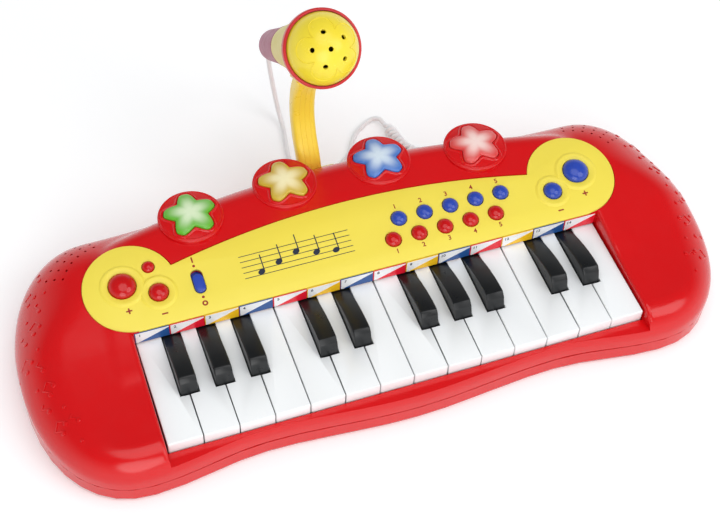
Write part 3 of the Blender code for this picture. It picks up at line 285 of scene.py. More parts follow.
END_ROUTE = ((104.0, 10.5, 3.6), (111.5, 10.1, 3.9), (118.5, 7.3, 5.0))
# Straight stretches at the microphone's tail, and where the coil and the case take the cord in
TAIL_STRAIGHT = 6.0
LEAD_IN = 4.5

# Places worked out from the sizes above
BED_HALF = WHITE_KEYS * KEY_PITCH / 2
BED_WALL = BED_HALF + BED_MARGIN
LOBE_X = BED_HALF + LOBE_SETBACK
CASE_DEPTH = KEY_SETBACK + KEY_LENGTH + PANEL_BACK * math.cos(PANEL_TILT) + CROWN_DEPTH
FRONT_Y = -CASE_DEPTH / 2
BACK_Y = CASE_DEPTH / 2
KEY_FRONT_Y = FRONT_Y + KEY_SETBACK
STRIP_Y = KEY_FRONT_Y + KEY_LENGTH
LOBE_Y = (FRONT_Y + BACK_Y - BACK_DROP) / 2
LOBE_DEPTH = LOBE_Y - FRONT_Y
SLOPE = math.tan(PANEL_TILT)
LOBE_HEIGHT = PANEL_HEIGHT - 0.5 * SLOPE * KEY_LENGTH
PANEL_SEAT = -(PANEL_THICKNESS + GAP)
BACKING_FACE = PANEL_SEAT - BACKING
FLANGE_TOP = BACKING_FACE - GAP
FLANGE_FOOT = FLANGE_TOP - BUTTON_FLANGE
TAIL_START = -(RING_BACK + HANDLE_LENGTH + GAP)
BACK_STARS = (
    (STAR_MIDDLE_X - STAR_OUTER[0], BACK_Y - STAR_OUTER[1]),
    (STAR_MIDDLE_X - STAR_INNER[0], BACK_Y - STAR_INNER[1]),
    (STAR_MIDDLE_X + STAR_INNER[0], BACK_Y - STAR_INNER[1]),
    (STAR_MIDDLE_X + STAR_OUTER[0], BACK_Y - STAR_OUTER[1]),
)
MIC_MATRIX = (
    Matrix.Translation((MIC_X, BACK_Y - MIC_SETBACK, MIC_HEIGHT))
    @ Matrix.Rotation(math.pi / 2 - MIC_TILT, 4, 'X')
)


def panel_matrix(x=0.0, up=0.0):
    """Placement on the sloping panel's face: along the keys and up the slope."""
    place = Matrix.Translation((0, STRIP_Y, PANEL_HEIGHT))
    return place @ Matrix.Rotation(PANEL_TILT, 4, 'X') @ Matrix.Translation((x, up, 0))


# Camera

def make_camera():
    """A camera above the front, a little to the left."""
    data = bpy.data.cameras.new('camera')
    data.lens = CAMERA_LENS
    data.sensor_width = CAMERA_SENSOR
    camera = bpy.data.objects.new('camera', data)
    turn = Matrix.Rotation(CAMERA_AZIMUTH, 4, 'Z')
    turn = turn @ Matrix.Rotation(math.pi / 2 - CAMERA_ELEVATION, 4, 'X')
    turn = turn @ Matrix.Rotation(CAMERA_ROLL, 4, 'Z')
    camera.matrix_world = Matrix.Translation(Vector(CAMERA_PLACE) * MM) @ turn
    bpy.context.scene.collection.objects.link(camera)
    bpy.context.scene.camera = camera


# Curves

def smooth_curve(points, steps):
    """Points on a smooth curve through the given points."""
    curve = []
    last = len(points) - 1
    for span in range(last):
        before, start, end, after = [points[min(max(span + shift, 0), last)] for shift in (-1, 0, 1, 2)]
        for step in range(steps):
            part = step / steps
            curve.append(0.5 * (
                2 * start + (end - before) * part
                + (2 * before - 5 * start + 4 * end - after) * part**2
                + (3 * start - before - 3 * end + after) * part**3
            ))
    curve.append(points[-1].copy())
    return curve


def wave(start, end, share):
    """A value that eases from start to end like half a wave."""
    return (start + end) / 2 + (start - end) / 2 * math.cos(math.pi * share)


def smooth_step(share):
    """A share that eases in and out."""
    share = min(max(share, 0.0), 1.0)
    return share * share * (3 - 2 * share)


# Materials

def srgb(code):
    """Linear colour from the hex code of a colour as it is seen on a screen."""
    parts = [int(code[at:at + 2], 16) / 255 for at in (1, 3, 5)]
    linear = [part / 12.92 if part <= 0.04045 else ((part + 0.055) / 1.055) ** 2.4 for part in parts]
    return (*linear, 1.0)


def add_node(tree, kind, inputs, **settings):
    """One shader node; an input is a value, or a node and the name or number of its output to link.

    A mix of colours takes them at its inputs 6 and 7 and gives the result at its output 2.
    """
    made = tree.nodes.new(kind)
    for name, value in settings.items():
        setattr(made, name, value)
    for name, value in inputs.items():
        if isinstance(value, tuple) and isinstance(value[0], bpy.types.Node):
            tree.links.new(value[0].outputs[value[1]], made.inputs[name])
        else:
            made.inputs[name].default_value = value
    return made


def per_metre(size):
    """Scale of a texture whose features are this many millimetres across."""
    return 1 / (size * MM)


# How much glossier and duller than its typical value a surface gets from place to place
GLOSS_SPREAD = (0.85, 1.2)
# How far light goes into a clear pad
PAD_LIGHT_REACH = 4.0


def surface(name, colour, shade, roughness, grain=0.3, depth=0.012, drift=35.0, **sockets):
    """A material with a drift to a second shade, an uneven gloss and a fine grain.

    grain and drift are feature sizes and depth is a height, in millimetres. The skin of a polished
    mould is too fine to show, so its grain is drawn coarser. sockets set the shader by name.
    """
    material = bpy.data.materials.new(name)
    material.use_nodes = True
    tree = material.node_tree
    shader = tree.nodes['Principled BSDF']
    place = add_node(tree, 'ShaderNodeTexCoord', {})
    cloud = add_node(tree, 'ShaderNodeTexNoise', {
        'Vector': (place, 'Object'), 'Scale': per_metre(drift), 'Detail': 4.0})
    tint = add_node(tree, 'ShaderNodeMix', {
        0: (cloud, 0), 6: srgb(colour), 7: srgb(shade)}, data_type='RGBA')
    smear = add_node(tree, 'ShaderNodeTexNoise', {
        'Vector': (place, 'Object'), 'Scale': per_metre(drift / 4), 'Detail': 5.0, 'Roughness': 0.65})
    gloss = add_node(tree, 'ShaderNodeMapRange', {
        'Value': (smear, 0), 'From Min': 0.3, 'From Max': 0.7,
        'To Min': roughness * GLOSS_SPREAD[0], 'To Max': roughness * GLOSS_SPREAD[1]})
    skin = add_node(tree, 'ShaderNodeTexNoise', {
        'Vector': (place, 'Object'), 'Scale': per_metre(grain), 'Detail': 2.0})
    bump = add_node(tree, 'ShaderNodeBump', {
        'Height': (skin, 0), 'Strength': 0.25, 'Distance': depth * MM})
    tree.links.new(tint.outputs[2], shader.inputs['Base Color'])
    tree.links.new(gloss.outputs['Result'], shader.inputs['Roughness'])
    tree.links.new(bump.outputs['Normal'], shader.inputs['Normal'])
    for socket, value in sockets.items():
        shader.inputs[socket.replace('_', ' ')].default_value = value
    return material


def pad_with_painted_glow(name, edge, middle):
    """A clear tinted pad over a lamp, with painted light: paler in its middle as a painted glow from the
    lamp below, and light goes a little way in.
    """
    material = surface(name, edge, edge, 0.16)
    tree = material.node_tree
    shader = tree.nodes['Principled BSDF']
    # Painted glow: a share per point that pales the tint towards the pad's middle
    glow = add_node(tree, 'ShaderNodeAttribute', {}, attribute_name='glow')
    tint = add_node(tree, 'ShaderNodeMix', {
        0: (glow, 'Fac'), 6: srgb(edge), 7: srgb(middle)}, data_type='RGBA')
    tree.links.new(tint.outputs[2], shader.inputs['Base Color'])
    shader.inputs['Coat Weight'].default_value = 0.25
    shader.inputs['Coat Roughness'].default_value = 0.05
    shader.inputs['Subsurface Weight'].default_value = 0.25
    shader.inputs['Subsurface Radius'].default_value = [PAD_LIGHT_REACH * MM] * 3
    return material


# Bright red case plastic: deep colour under a soft gloss, with a fine skin that spreads its highlights
CASE_RED = surface(
    'ABS_red_polished_mould', '#d60d12', '#cc0a0f', 0.17, depth=0.006)
# Yellow panel plate: smooth and satin, so that it stays flat and bright under the print
PANEL_YELLOW = surface(
    'polystyrene_yellow_satin_mould', '#f2de50', '#ecd748', 0.38, depth=0.01)
# White keys: clean gloss with the slightest cool drift
KEY_WHITE = surface(
    'ABS_white_polished_mould', '#f6f7f7', '#f0f2f3', 0.2, depth=0.008, drift=60.0)
# Black keys: a dark satin that shows its edges as grey lines
KEY_BLACK = surface(
    'ABS_black_satin_mould', '#16181a', '#0f1113', 0.3, grain=0.4, depth=0.02)
# Blue buttons: deep and glossy, with a clear highlight on each dome
BUTTON_BLUE = surface(
    'ABS_blue_polished_mould', '#304cb4', '#2842a4', 0.14, depth=0.006, drift=12.0)
# Red buttons: a little deeper than the case, and glossier
BUTTON_RED = surface(
    'ABS_deep_red_polished_mould', '#cb1014', '#ba0c10', 0.14, depth=0.006, drift=12.0)
# Microphone grille: warm bright yellow, smooth and glossy
MIC_YELLOW = surface(
    'ABS_yellow_polished_mould', '#f3dd3b', '#ebd333', 0.24, depth=0.008, drift=25.0)
# Microphone handle: the same yellow, paler and duller; its darker, duller tone is painted shade from the
# dome in front of it
HANDLE_YELLOW_PAINTED_SHADE = surface(
    'ABS_pale_yellow_satin_painted_shade', '#e2d26a', '#d8c75c', 0.4, depth=0.008, drift=25.0)
# Microphone ring: bright red, satin
MIC_RED = surface(
    'ABS_red_satin_mould', '#cf1a20', '#c2151b', 0.3, depth=0.008, drift=20.0)
# Tail cap: a dull rose, satin; the cap's red is painted darker and duller, as painted shade where it lies
# out of the light
TAIL_ROSE_PAINTED_SHADE = surface(
    'ABS_rose_satin_painted_shade', '#a8486a', '#9c405e', 0.4, depth=0.008, drift=20.0)
# Arm: a more golden yellow than the microphone, with long soft highlights
ARM_YELLOW = surface(
    'ABS_golden_yellow_mould', '#ffe24e', '#f9d944', 0.3, depth=0.008, drift=25.0)
# Cord jacket: soft white, low gloss, with the faint ripple of an extruded skin
CORD_WHITE = surface(
    'PVC_white_extruded_jacket', '#f8f8f8', '#f0f0f1', 0.42, grain=1.2, depth=0.03, drift=15.0)
# Marks on the panel: a thin dark red film, a little uneven like screen ink
INK_RED = surface(
    'screen_ink_dark_red_printed', '#a3281a', '#932010', 0.5, grain=0.2, depth=0.008, drift=3.0)
# Stave and figures: the same kind of film in dark blue
INK_BLUE = surface(
    'screen_ink_dark_blue_printed', '#202c48', '#18223a', 0.5, grain=0.2, depth=0.008, drift=3.0)
# Note strip: a label of flat clean white under a light gloss
LABEL_WHITE = surface(
    'vinyl_label_white_printed', '#f8f8f8', '#f2f2f2', 0.3, depth=0.005, drift=30.0)
# Coloured corners of the note strip: flat strong colours under the same gloss
LABEL_COLOURS = (
    surface('vinyl_label_blue_printed', '#28599c', '#235090', 0.3, depth=0.005, drift=30.0),
    surface('vinyl_label_red_printed', '#ee1c34', '#e4172e', 0.3, depth=0.005, drift=30.0),
    surface('vinyl_label_yellow_printed', '#fcc822', '#f5bf1b', 0.3, depth=0.005, drift=30.0),
)
# Star pads: clear tinted plastic over lamps, glossy, with painted light: pale in the middle as a painted
# glow from their lamps
STAR_FINISHES = (
    pad_with_painted_glow('polystyrene_clear_green_mould', '#63b52c', '#dff0cc'),
    pad_with_painted_glow('polystyrene_clear_yellow_mould', '#cfae32', '#f8efc6'),
    pad_with_painted_glow('polystyrene_clear_blue_mould', '#4878c6', '#d9e8f7'),
    pad_with_painted_glow('polystyrene_clear_red_mould', '#dc4644', '#fadcd6'),
)
# Screws: bright zinc over steel, scratched by the driver
SCREW_ZINC = surface(
    'steel_zinc_plated_screw', '#b9bdc2', '#9fa4aa', 0.3, grain=0.3, drift=2.0, Metallic=1.0)
# Pivot rod: drawn steel with a smooth grey shine
ROD_STEEL = surface(
    'steel_drawn_rod', '#a9abad', '#8f9296', 0.25, grain=0.4, drift=6.0, Metallic=1.0)
# Circuit boards: green solder resist, mottled by the glass weave below
BOARD_GREEN = surface(
    'FR4_green_solder_resist', '#1f6b38', '#155228', 0.4, grain=0.8, depth=0.04, drift=5.0)
# Loudspeaker: black pressed paper with visible fibres
SPEAKER_BLACK = surface(
    'paper_black_pressed_cone', '#26262a', '#17171a', 0.7, grain=0.5, depth=0.15, drift=3.0)


# Shapes

def lathe(profile, sides):
    """A form of revolution about Z from (radius, height) points."""
    mesh = bmesh.new()
    verts = [mesh.verts.new((radius, 0, height)) for radius, height in profile]
    edges = [mesh.edges.new(pair) for pair in zip(verts, verts[1:])]
    bmesh.ops.spin(
        mesh, geom=verts + edges, cent=(0, 0, 0), axis=(0, 0, 1), dvec=(0, 0, 0),
        angle=math.tau, steps=sides, use_merge=True, use_duplicate=False)
    bmesh.ops.remove_doubles(mesh, verts=mesh.verts, dist=WELD)
    close_ends(mesh)
    return mesh


def close_ends(mesh):
    """Fills what is open, and turns every face outward."""
    open_edges = [edge for edge in mesh.edges if edge.is_boundary]
    if open_edges:
        bmesh.ops.edgeloop_fill(mesh, edges=open_edges)
    bmesh.ops.recalc_face_normals(mesh, faces=mesh.faces)


def slab(outline, low, high):
    """An outline of (x, y) points between two heights."""
    mesh = bmesh.new()
    face = mesh.faces.new([mesh.verts.new((x, y, low)) for x, y in outline])
    made = bmesh.ops.extrude_face_region(mesh, geom=[face])['geom']
    lifted = [part for part in made if isinstance(part, bmesh.types.BMVert)]
    bmesh.ops.translate(mesh, verts=lifted, vec=(0, 0, high - low))
    bmesh.ops.recalc_face_normals(mesh, faces=mesh.faces)
    return mesh


def bar(left, low, right, high):
    """Outline of a rectangle."""
    return [(left, low), (right, low), (right, high), (left, high)]


def disc(radius, sides, x=0.0, y=0.0):
    """Outline of a round spot."""
    turns = [math.tau * step / sides for step in range(sides)]
    return [(x + radius * math.cos(turn), y + radius * math.sin(turn)) for turn in turns]


def block(low, high):
    """A box between two corners."""
    return slab(bar(low[0], low[1], high[0], high[1]), low[2], high[2])


def loft(rings, looped=False):
    """A closed form drawn through rings of points, and back to the first where it is looped."""
    mesh = bmesh.new()
    loops = []
    for ring in rings:
        verts = [mesh.verts.new(point) for point in ring]
        loops.append([mesh.edges.new(pair) for pair in zip(verts, verts[1:] + verts[:1])])
    if looped:
        loops.append(loops[0])
    for low, high in zip(loops, loops[1:]):
        bmesh.ops.bridge_loops(mesh, edges=low + high)
    close_ends(mesh)
    return mesh


def moved(mesh, matrix):
    """The mesh, placed by a matrix."""
    bmesh.ops.transform(mesh, matrix=matrix, verts=mesh.verts)
    return mesh


def joined(*meshes):
    """Several separate bodies in one mesh."""
    whole = bmesh.new()
    for mesh in meshes:
        data = bpy.data.meshes.new('part')
        mesh.to_mesh(data)
        mesh.free()
        whole.from_mesh(data)
        bpy.data.meshes.remove(data)
    return whole


def soften(mesh, edges, width, segments=3):
    """Rounds the given edges."""
    bmesh.ops.bevel(
        mesh, geom=edges, offset=width, offset_type='OFFSET', segments=segments,
        profile=0.5, affect='EDGES', material=-1, clamp_overlap=True)
    return mesh


def top_edges(mesh, height):
    """The edges that lie at a height."""
    return [edge for edge in mesh.edges if all(abs(vert.co.z - height) < WELD for vert in edge.verts)]


def loose_object(mesh):
    """An object that only takes part in a cut."""
    data = bpy.data.meshes.new('tool')
    mesh.to_mesh(data)
    mesh.free()
    item = bpy.data.objects.new('tool', data)
    bpy.context.scene.collection.objects.link(item)
    return item


def solved_mesh(item):
    """The mesh of an object after its modifiers, or of its curve or text."""
    bpy.context.view_layer.update()
    solved = item.evaluated_get(bpy.context.evaluated_depsgraph_get())
    data = bpy.data.meshes.new_from_object(solved)
    mesh = bmesh.new()
    mesh.from_mesh(data)
    bpy.data.meshes.remove(data)
    return mesh


def carve(mesh, *tools, operation='DIFFERENCE'):
    """Cuts each tool's form out of a mesh, or adds it."""
    target = loose_object(mesh)
    cutters = [loose_object(tool) for tool in tools]
    for cutter in cutters:
        modifier = target.modifiers.new('cut', 'BOOLEAN')
        modifier.operation = operation
        modifier.solver = 'EXACT'
        modifier.object = cutter
    result = solved_mesh(target)
    for item in [target] + cutters:
        spare = item.data
        bpy.data.objects.remove(item)
        bpy.data.meshes.remove(spare)
    return result


def shaped(data):
    """The mesh of a curve or a text."""
    item = bpy.data.objects.new(data.name, data)
    bpy.context.scene.collection.objects.link(item)
    mesh = solved_mesh(item)
    bpy.data.objects.remove(item)
    bpy.data.curves.remove(data)
    bmesh.ops.remove_doubles(mesh, verts=mesh.verts, dist=WELD)
    bmesh.ops.recalc_face_normals(mesh, faces=mesh.faces)
    return painted(mesh, 0)


def painted(mesh, finish):
    """Gives every face one of a piece's finishes, by its number."""
    for face in mesh.faces:
        face.material_index = finish
    return mesh


def finished(name, mesh, finishes, stands_for=(), crease=35):
    """Puts a finished mesh into the scene as a piece, with its place in its mesh."""
    moved(mesh, Matrix.Scale(MM, 4))
    data = bpy.data.meshes.new(name)
    mesh.to_mesh(data)
    mesh.free()
    for finish in finishes:
        data.materials.append(finish)
    data.shade_smooth()
    data.set_sharp_from_angle(angle=math.radians(crease))
    piece = bpy.data.objects.new(name, data)
    bpy.context.scene.collection.objects.link(piece)
    if stands_for:
        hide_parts(*stands_for)
    return piece


def add_piece(name, mesh, finishes, body, stands_for=(), crease=35):
    """A finished piece that rides on a body."""
    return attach(finished(name, mesh, finishes, stands_for, crease), body)


# Case

def smooth_min(one, other, blend):
    """The lower of two values, with a soft change from one to the other."""
    share = max(blend - abs(one - other), 0.0) / blend
    return min(one, other) - share * share * blend / 4


def quarter_round(share, fullness=2.0):
    """Height share of a quarter round at a share of its width."""
    share = min(max(share, 0.0), 1.0)
    return (1 - (1 - share) ** fullness) ** (1 / fullness)


def lobe_half_depth(x, shrink):
    """Half the depth of a lobe at a distance along the keys."""
    share = min(max((abs(x) - LOBE_X) / (LOBE_REACH - shrink), 0.0), 1.0)
    return (LOBE_DEPTH - shrink) * (1 - share**LOBE_FULLNESS) ** (1 / LOBE_FULLNESS)


def front_edge(x, shrink=0.0):
    """The plan outline's front, drawn in by a distance."""
    x = abs(x)
    if x > LOBE_X:
        return LOBE_Y - lobe_half_depth(x, shrink)
    if x > FRONT_TROUGH_X:
        share = (x - FRONT_TROUGH_X) / (LOBE_X - FRONT_TROUGH_X)
        return FRONT_Y + wave(FRONT_TROUGH, 0.0, share) + shrink
    return FRONT_Y + wave(FRONT_MIDDLE, FRONT_TROUGH, x / FRONT_TROUGH_X) + shrink


def back_edge(x, shrink=0.0):
    """The plan outline's back, drawn in by a distance."""
    if abs(x) > LOBE_X:
        return LOBE_Y + lobe_half_depth(x, shrink)
    return BACK_Y - wave(BACK_DROP, 0.0, 1 - abs(x) / LOBE_X) - shrink


# Share of a grid's columns that spans the straight middle of the case
MIDDLE_SHARE = 0.56


def column_x(share, shrink):
    """Distance along the keys for a share from -1 to 1, closer together towards the ends."""
    side = math.copysign(1.0, share)
    beyond = (abs(share) - MIDDLE_SHARE) / (1 - MIDDLE_SHARE)
    if beyond < 0:
        return LOBE_X * share / MIDDLE_SHARE
    return side * (LOBE_X + (LOBE_REACH - shrink) * math.sin(math.pi / 2 * beyond))


class Outline:
    """The case's plan outline, for distances to it."""

    def __init__(self, shrink):
        shares = [2 * step / OUTLINE_STEPS - 1 for step in range(OUTLINE_STEPS + 1)]
        across = [column_x(share, shrink) for share in shares]
        self.points = [Vector((x, front_edge(x, shrink), 0)) for x in across]
        self.points += [Vector((x, back_edge(x, shrink), 0)) for x in reversed(across)]
        self.tree = KDTree(len(self.points))
        for here, point in enumerate(self.points):
            self.tree.insert(point, here)
        self.tree.balance()

    def distance(self, x, y):
        """Distance from a spot to the outline."""
        spot = Vector((x, y, 0))
        near, here, shortest = self.tree.find(spot)
        for other in (here - 1, (here + 1) % len(self.points)):
            foot, share = intersect_point_line(spot, near, self.points[other])
            if 0 <= share <= 1:
                shortest = min(shortest, (foot - spot).length)
        return shortest


OUTLINE = Outline(0.0)


def edge_height(y):
    """Height of the upright wall, a little lower at the back."""
    return EDGE_HEIGHT + (BACK_EDGE_HEIGHT - EDGE_HEIGHT) * smooth_step((y - STRIP_Y) / ROLL_EASE)


def deck_height(y):
    """Height of the top along the middle of the case: a rising curve, then the panel's slope."""
    if y < STRIP_Y:
        reach = max(y, KEY_FRONT_Y) - KEY_FRONT_Y
        return LOBE_HEIGHT + 0.5 * SLOPE * reach**2 / KEY_LENGTH
    return PANEL_HEIGHT + SLOPE * (y - STRIP_Y)


def top_height(x, y, inset, shrink=0.0):
    """Height of the rounded top at a spot, a distance inside the outline."""
    roll = ROLL_FRONT + (ROLL_SIDE - ROLL_FRONT) * smooth_step((y - KEY_FRONT_Y) / ROLL_EASE)
    roll += (ROLL_BACK - ROLL_SIDE) * smooth_step((y - STRIP_Y) / ROLL_EASE)
    deck = deck_height(y)
    edge = edge_height(y)
    pillow = edge + (deck - edge) * quarter_round(inset / roll, ROLL_FULLNESS)
    behind = BACK_Y - x**2 / CROWN_CURVE - shrink - y
    beside = CROWN_HALF - shrink - abs(x)
    swell = quarter_round(behind / CROWN_ROLL) * quarter_round(beside / CROWN_ROLL)
    crown = smooth_min(deck, edge + (CROWN_HEIGHT - edge) * swell, CREST_BLEND)
    crown -= CROWN_HEIGHT * (1 - smooth_step((y - KEY_FRONT_Y) / ROLL_EASE))
    return -smooth_min(-pillow, -crown, CROWN_BLEND) - shrink


def case_form(shrink, foot, columns, rows):
    """The rounded upper form as a closed solid, drawn in by a wall thickness, down to a foot height."""
    outline = Outline(shrink) if shrink else OUTLINE
    mesh = bmesh.new()
    bmesh.ops.create_grid(mesh, x_segments=columns, y_segments=rows, size=0.5)
    for vert in mesh.verts:
        x = column_x(2 * vert.co.x, shrink)
        front = front_edge(x, shrink)
        share = (1 - math.cos(math.pi * (vert.co.y + 0.5))) / 2
        y = front + (back_edge(x, shrink) - front) * share
        vert.co = (x, y, top_height(x, y, outline.distance(x, y), shrink))
    bmesh.ops.remove_doubles(mesh, verts=mesh.verts, dist=WELD)
    rim = [edge for edge in mesh.edges if edge.is_boundary]
    made = bmesh.ops.extrude_edge_only(mesh, edges=rim)['geom']
    for part in made:
        if isinstance(part, bmesh.types.BMVert):
            part.co.z = foot
    close_ends(mesh)
    return mesh


def bed_form():
    """The room that the keys stand in, open to the front, with its side rims flared to a round edge."""
    start = FRONT_Y - TOOL_REACH
    rings = []
    for step in range(BED_STEPS + 1):
        y = start + (STRIP_Y - start) * step / BED_STEPS
        rim = LEDGE_HEIGHT + 2 * BED_RIM
        if y > front_edge(BED_WALL) + WELD:
            rim = max(rim, top_height(BED_WALL, y, OUTLINE.distance(BED_WALL, y)))
        side = [(BED_WALL, LEDGE_HEIGHT)]
        for turn in range(RIM_STEPS + 1):
            angle = RIM_TURN * turn / RIM_STEPS
            out = BED_RIM * (1 - math.cos(angle))
            side.append((BED_WALL + out, rim - BED_RIM * (1 - math.sin(angle))))
        flare_x, flare_z = side[-1]
        flare_x += TOOL_REACH * math.sin(RIM_TURN)
        flare_z += TOOL_REACH * math.cos(RIM_TURN)
        side += [(flare_x, flare_z), (flare_x, CROWN_HEIGHT + TOOL_REACH)]
        ring = [Vector((x, y, z)) for x, z in side]
        rings.append(ring + [Vector((-x, y, z)) for x, z in reversed(side)])
    return loft(rings)


def panel_outline(grow, front):
    """The panel's outline in its own plane: a band with an arched back and two round ends."""
    radius = PANEL_LOBE_RADIUS + grow
    back = PANEL_BACK + grow

    def arch(x):
        return back - x * x / (2 * PANEL_BACK_CURVE)

    # The angle at which the round end meets the arch
    low = math.pi / 2
    high = math.pi
    while high - low > NOTCH_FINENESS:
        middle = (low + high) / 2
        x = PANEL_LOBE_X + radius * math.cos(middle)
        if PANEL_LOBE_RISE + radius * math.sin(middle) > arch(x):
            low = middle
        else:
            high = middle
    right = [(PANEL_LOBE_X, front)]
    for step in range(1, PANEL_ARC_STEPS + 1):
        angle = -math.pi / 2 + (low + math.pi / 2) * step / PANEL_ARC_STEPS
        up = PANEL_LOBE_RISE + radius * math.sin(angle)
        right.append((PANEL_LOBE_X + radius * math.cos(angle), max(up, front)))
    notch = right[-1][0]
    for step in range(1, PANEL_ARCH_STEPS + 1):
        x = notch * (1 - step / PANEL_ARCH_STEPS)
        right.append((x, arch(x)))
    return right + [(-x, up) for x, up in reversed(right[:-1])]


def pill(width, length):
    """A slot outline with round ends, long way up."""
    outline = []
    straight = (length - width) / 2
    for side in (1, -1):
        for step in range(PILL_STEPS + 1):
            angle = math.pi * step / PILL_STEPS + (0 if side == 1 else math.pi)
            outline.append((width / 2 * math.cos(angle), side * straight + width / 2 * math.sin(angle)))
    return outline


def button_list():
    """Name, place on the panel, radius, stand above the face, finish, slot and collar for each button."""
    buttons = []
    rows = (
        ('voice', VOICE_ROW, BUTTON_BLUE, 'button_blue'),
        ('rhythm', RHYTHM_ROW, BUTTON_RED, 'button_red'),
    )
    for name, (x, up), finish, slot in rows:
        for count in range(ROW_COUNT):
            spot = (x + count * ROW_PITCH, up)
            button = f'{name}_button_{count + 1}'
            buttons.append((button, spot, ROW_RADIUS, ROW_STAND, finish, slot, False))
    ends = ((-1, 'volume', BUTTON_RED, 'button_red'), (1, 'tempo', BUTTON_BLUE, 'button_blue'))
    for side, name, finish, slot in ends:
        large = (side * LARGE_SPOT[0], LARGE_SPOT[1])
        small = (side * SMALL_SPOT[0], SMALL_SPOT[1])
        buttons.append((f'{name}_up_button', large, LARGE_RADIUS, LARGE_STAND, finish, slot, True))
        buttons.append((f'{name}_down_button', small, SMALL_RADIUS, SMALL_STAND, finish, slot, True))
    buttons.append((
        'effect_button', EFFECT_SPOT, EFFECT_RADIUS, EFFECT_STAND, BUTTON_RED, 'button_red', False))
    return buttons


def button_holes():
    """Round holes for every button, and the slot of the power switch, in the panel's plane."""
    holes = []
    for _, (x, up), radius, _, _, _, _ in button_list():
        reach = radius + SLIDE_FIT
        hole = lathe(((reach, -TOOL_REACH / 2), (reach, TOOL_REACH / 2)), BUTTON_SIDES)
        holes.append(moved(hole, Matrix.Translation((x, up, 0))))
    outline = pill(SWITCH_WIDTH + 2 * SLIDE_FIT, SWITCH_LENGTH + SWITCH_TRAVEL + 2 * SLIDE_FIT)
    slot = slab(outline, -TOOL_REACH / 2, TOOL_REACH / 2)
    holes.append(moved(slot, Matrix.Translation((*SWITCH_SPOT, 0))))
    return joined(*holes)


# Sound holes in the back of both lobes: rays round the panel's round ends
SOUND_HOLE = 0.75
SOUND_HOLE_SIDES = 10
SOUND_RAYS = 6
SOUND_RAY_START = math.radians(29)
SOUND_RAY_STEP = math.radians(8.5)
SOUND_RADII = (37.8, 42.8, 47.8)


def sound_holes():
    """Small holes through the back of both lobes."""
    middle = STRIP_Y + PANEL_LOBE_RISE * math.cos(PANEL_TILT)
    holes = []
    for side in (-1, 1):
        for ray in range(SOUND_RAYS):
            angle = SOUND_RAY_START + ray * SOUND_RAY_STEP
            for radius in SOUND_RADII:
                x = side * (PANEL_LOBE_X + radius * math.cos(angle))
                y = middle + radius * math.sin(angle)
                hole = lathe(((SOUND_HOLE, EDGE_HEIGHT), (SOUND_HOLE, CROWN_HEIGHT)), SOUND_HOLE_SIDES)
                holes.append(moved(hole, Matrix.Translation((x, y, 0))))
    return joined(*holes)


def make_upper_case():
    """The upper shell with its key bed, panel seat, star wells and sound holes."""
    shell = case_form(0.0, PARTING + PARTING_LINE, CASE_COLUMNS, CASE_ROWS)
    recess = moved(slab(panel_outline(GAP, -TOOL_REACH), PANEL_SEAT, TOOL_REACH), panel_matrix())
    room = case_form(WALL, PARTING - WALL, ROOM_COLUMNS, ROOM_ROWS)
    backing = moved(slab(panel_outline(WALL, -TOOL_REACH), BACKING_FACE, TOOL_REACH), panel_matrix())
    bed_room = block(
        (-BED_WALL - WALL, FRONT_Y - TOOL_REACH, LEDGE_HEIGHT - WALL),
        (BED_WALL + WALL, STRIP_Y + WALL, CROWN_HEIGHT + TOOL_REACH))
    room = carve(room, bed_room, backing)
    half = BED_HALF + BED_MARGIN / 2
    well = block(
        (-half, KEY_FRONT_Y - BED_MARGIN, 0),
        (half, STRIP_Y + WALL / 2, LEDGE_HEIGHT + WALL))
    passage = block((-half, STRIP_Y - WALL, 0), (half, STRIP_Y + 2 * WALL, KEY_TOP + BED_MARGIN))
    wells = []
    for x, y in BACK_STARS:
        reach = SEAT_RADIUS - SEAT_WALL
        hole = lathe(((reach, EDGE_HEIGHT + WALL), (reach, SEAT_EDGE + TOOL_REACH)), BUTTON_SIDES)
        wells.append(moved(hole, Matrix.Translation((x, y, 0))))
    shell = carve(
        shell, bed_form(), recess, room, well, passage,
        moved(button_holes(), panel_matrix()), joined(*wells), sound_holes())
    add_piece('upper_case_shell', shell, [CASE_RED], 'case', ['upper_case'], crease=32)


# Raised notes and dots along the outside of both lobes, in two staggered rows
NOTE_ROWS = (0.87, 0.75)
NOTE_START = math.radians(50)
NOTE_STEP = math.radians(12.5)
NOTE_COUNT = 9
NOTE_HEAD = 1.25
NOTE_STEM = (0.55, 5.0)
NOTE_FLAG = (2.4, 0.9)
NOTE_DOT = 0.9
NOTE_RELIEF = 0.55
NOTE_ROOT = 0.8
NOTE_EDGE = 0.25
NOTE_KINDS = ('single', 'dot', 'pair')


def note_outlines(kind):
    """Outlines that make up a single note, a pair of notes or a dot."""
    width, length = NOTE_STEM
    reach, drop = NOTE_FLAG
    if kind == 'dot':
        return [disc(NOTE_DOT, ROUND_SPOT_SIDES)]
    heads = [0.0] if kind == 'single' else [-reach, reach]
    outlines = []
    for middle in heads:
        stem = middle + NOTE_HEAD
        outlines.append(disc(NOTE_HEAD, ROUND_SPOT_SIDES, middle))
        outlines.append(bar(stem - width, 0, stem, length))
    left = heads[0] + NOTE_HEAD - width
    right = heads[-1] + NOTE_HEAD if kind == 'pair' else left + reach
    outlines.append(bar(left, length - drop, right, length))
    return outlines


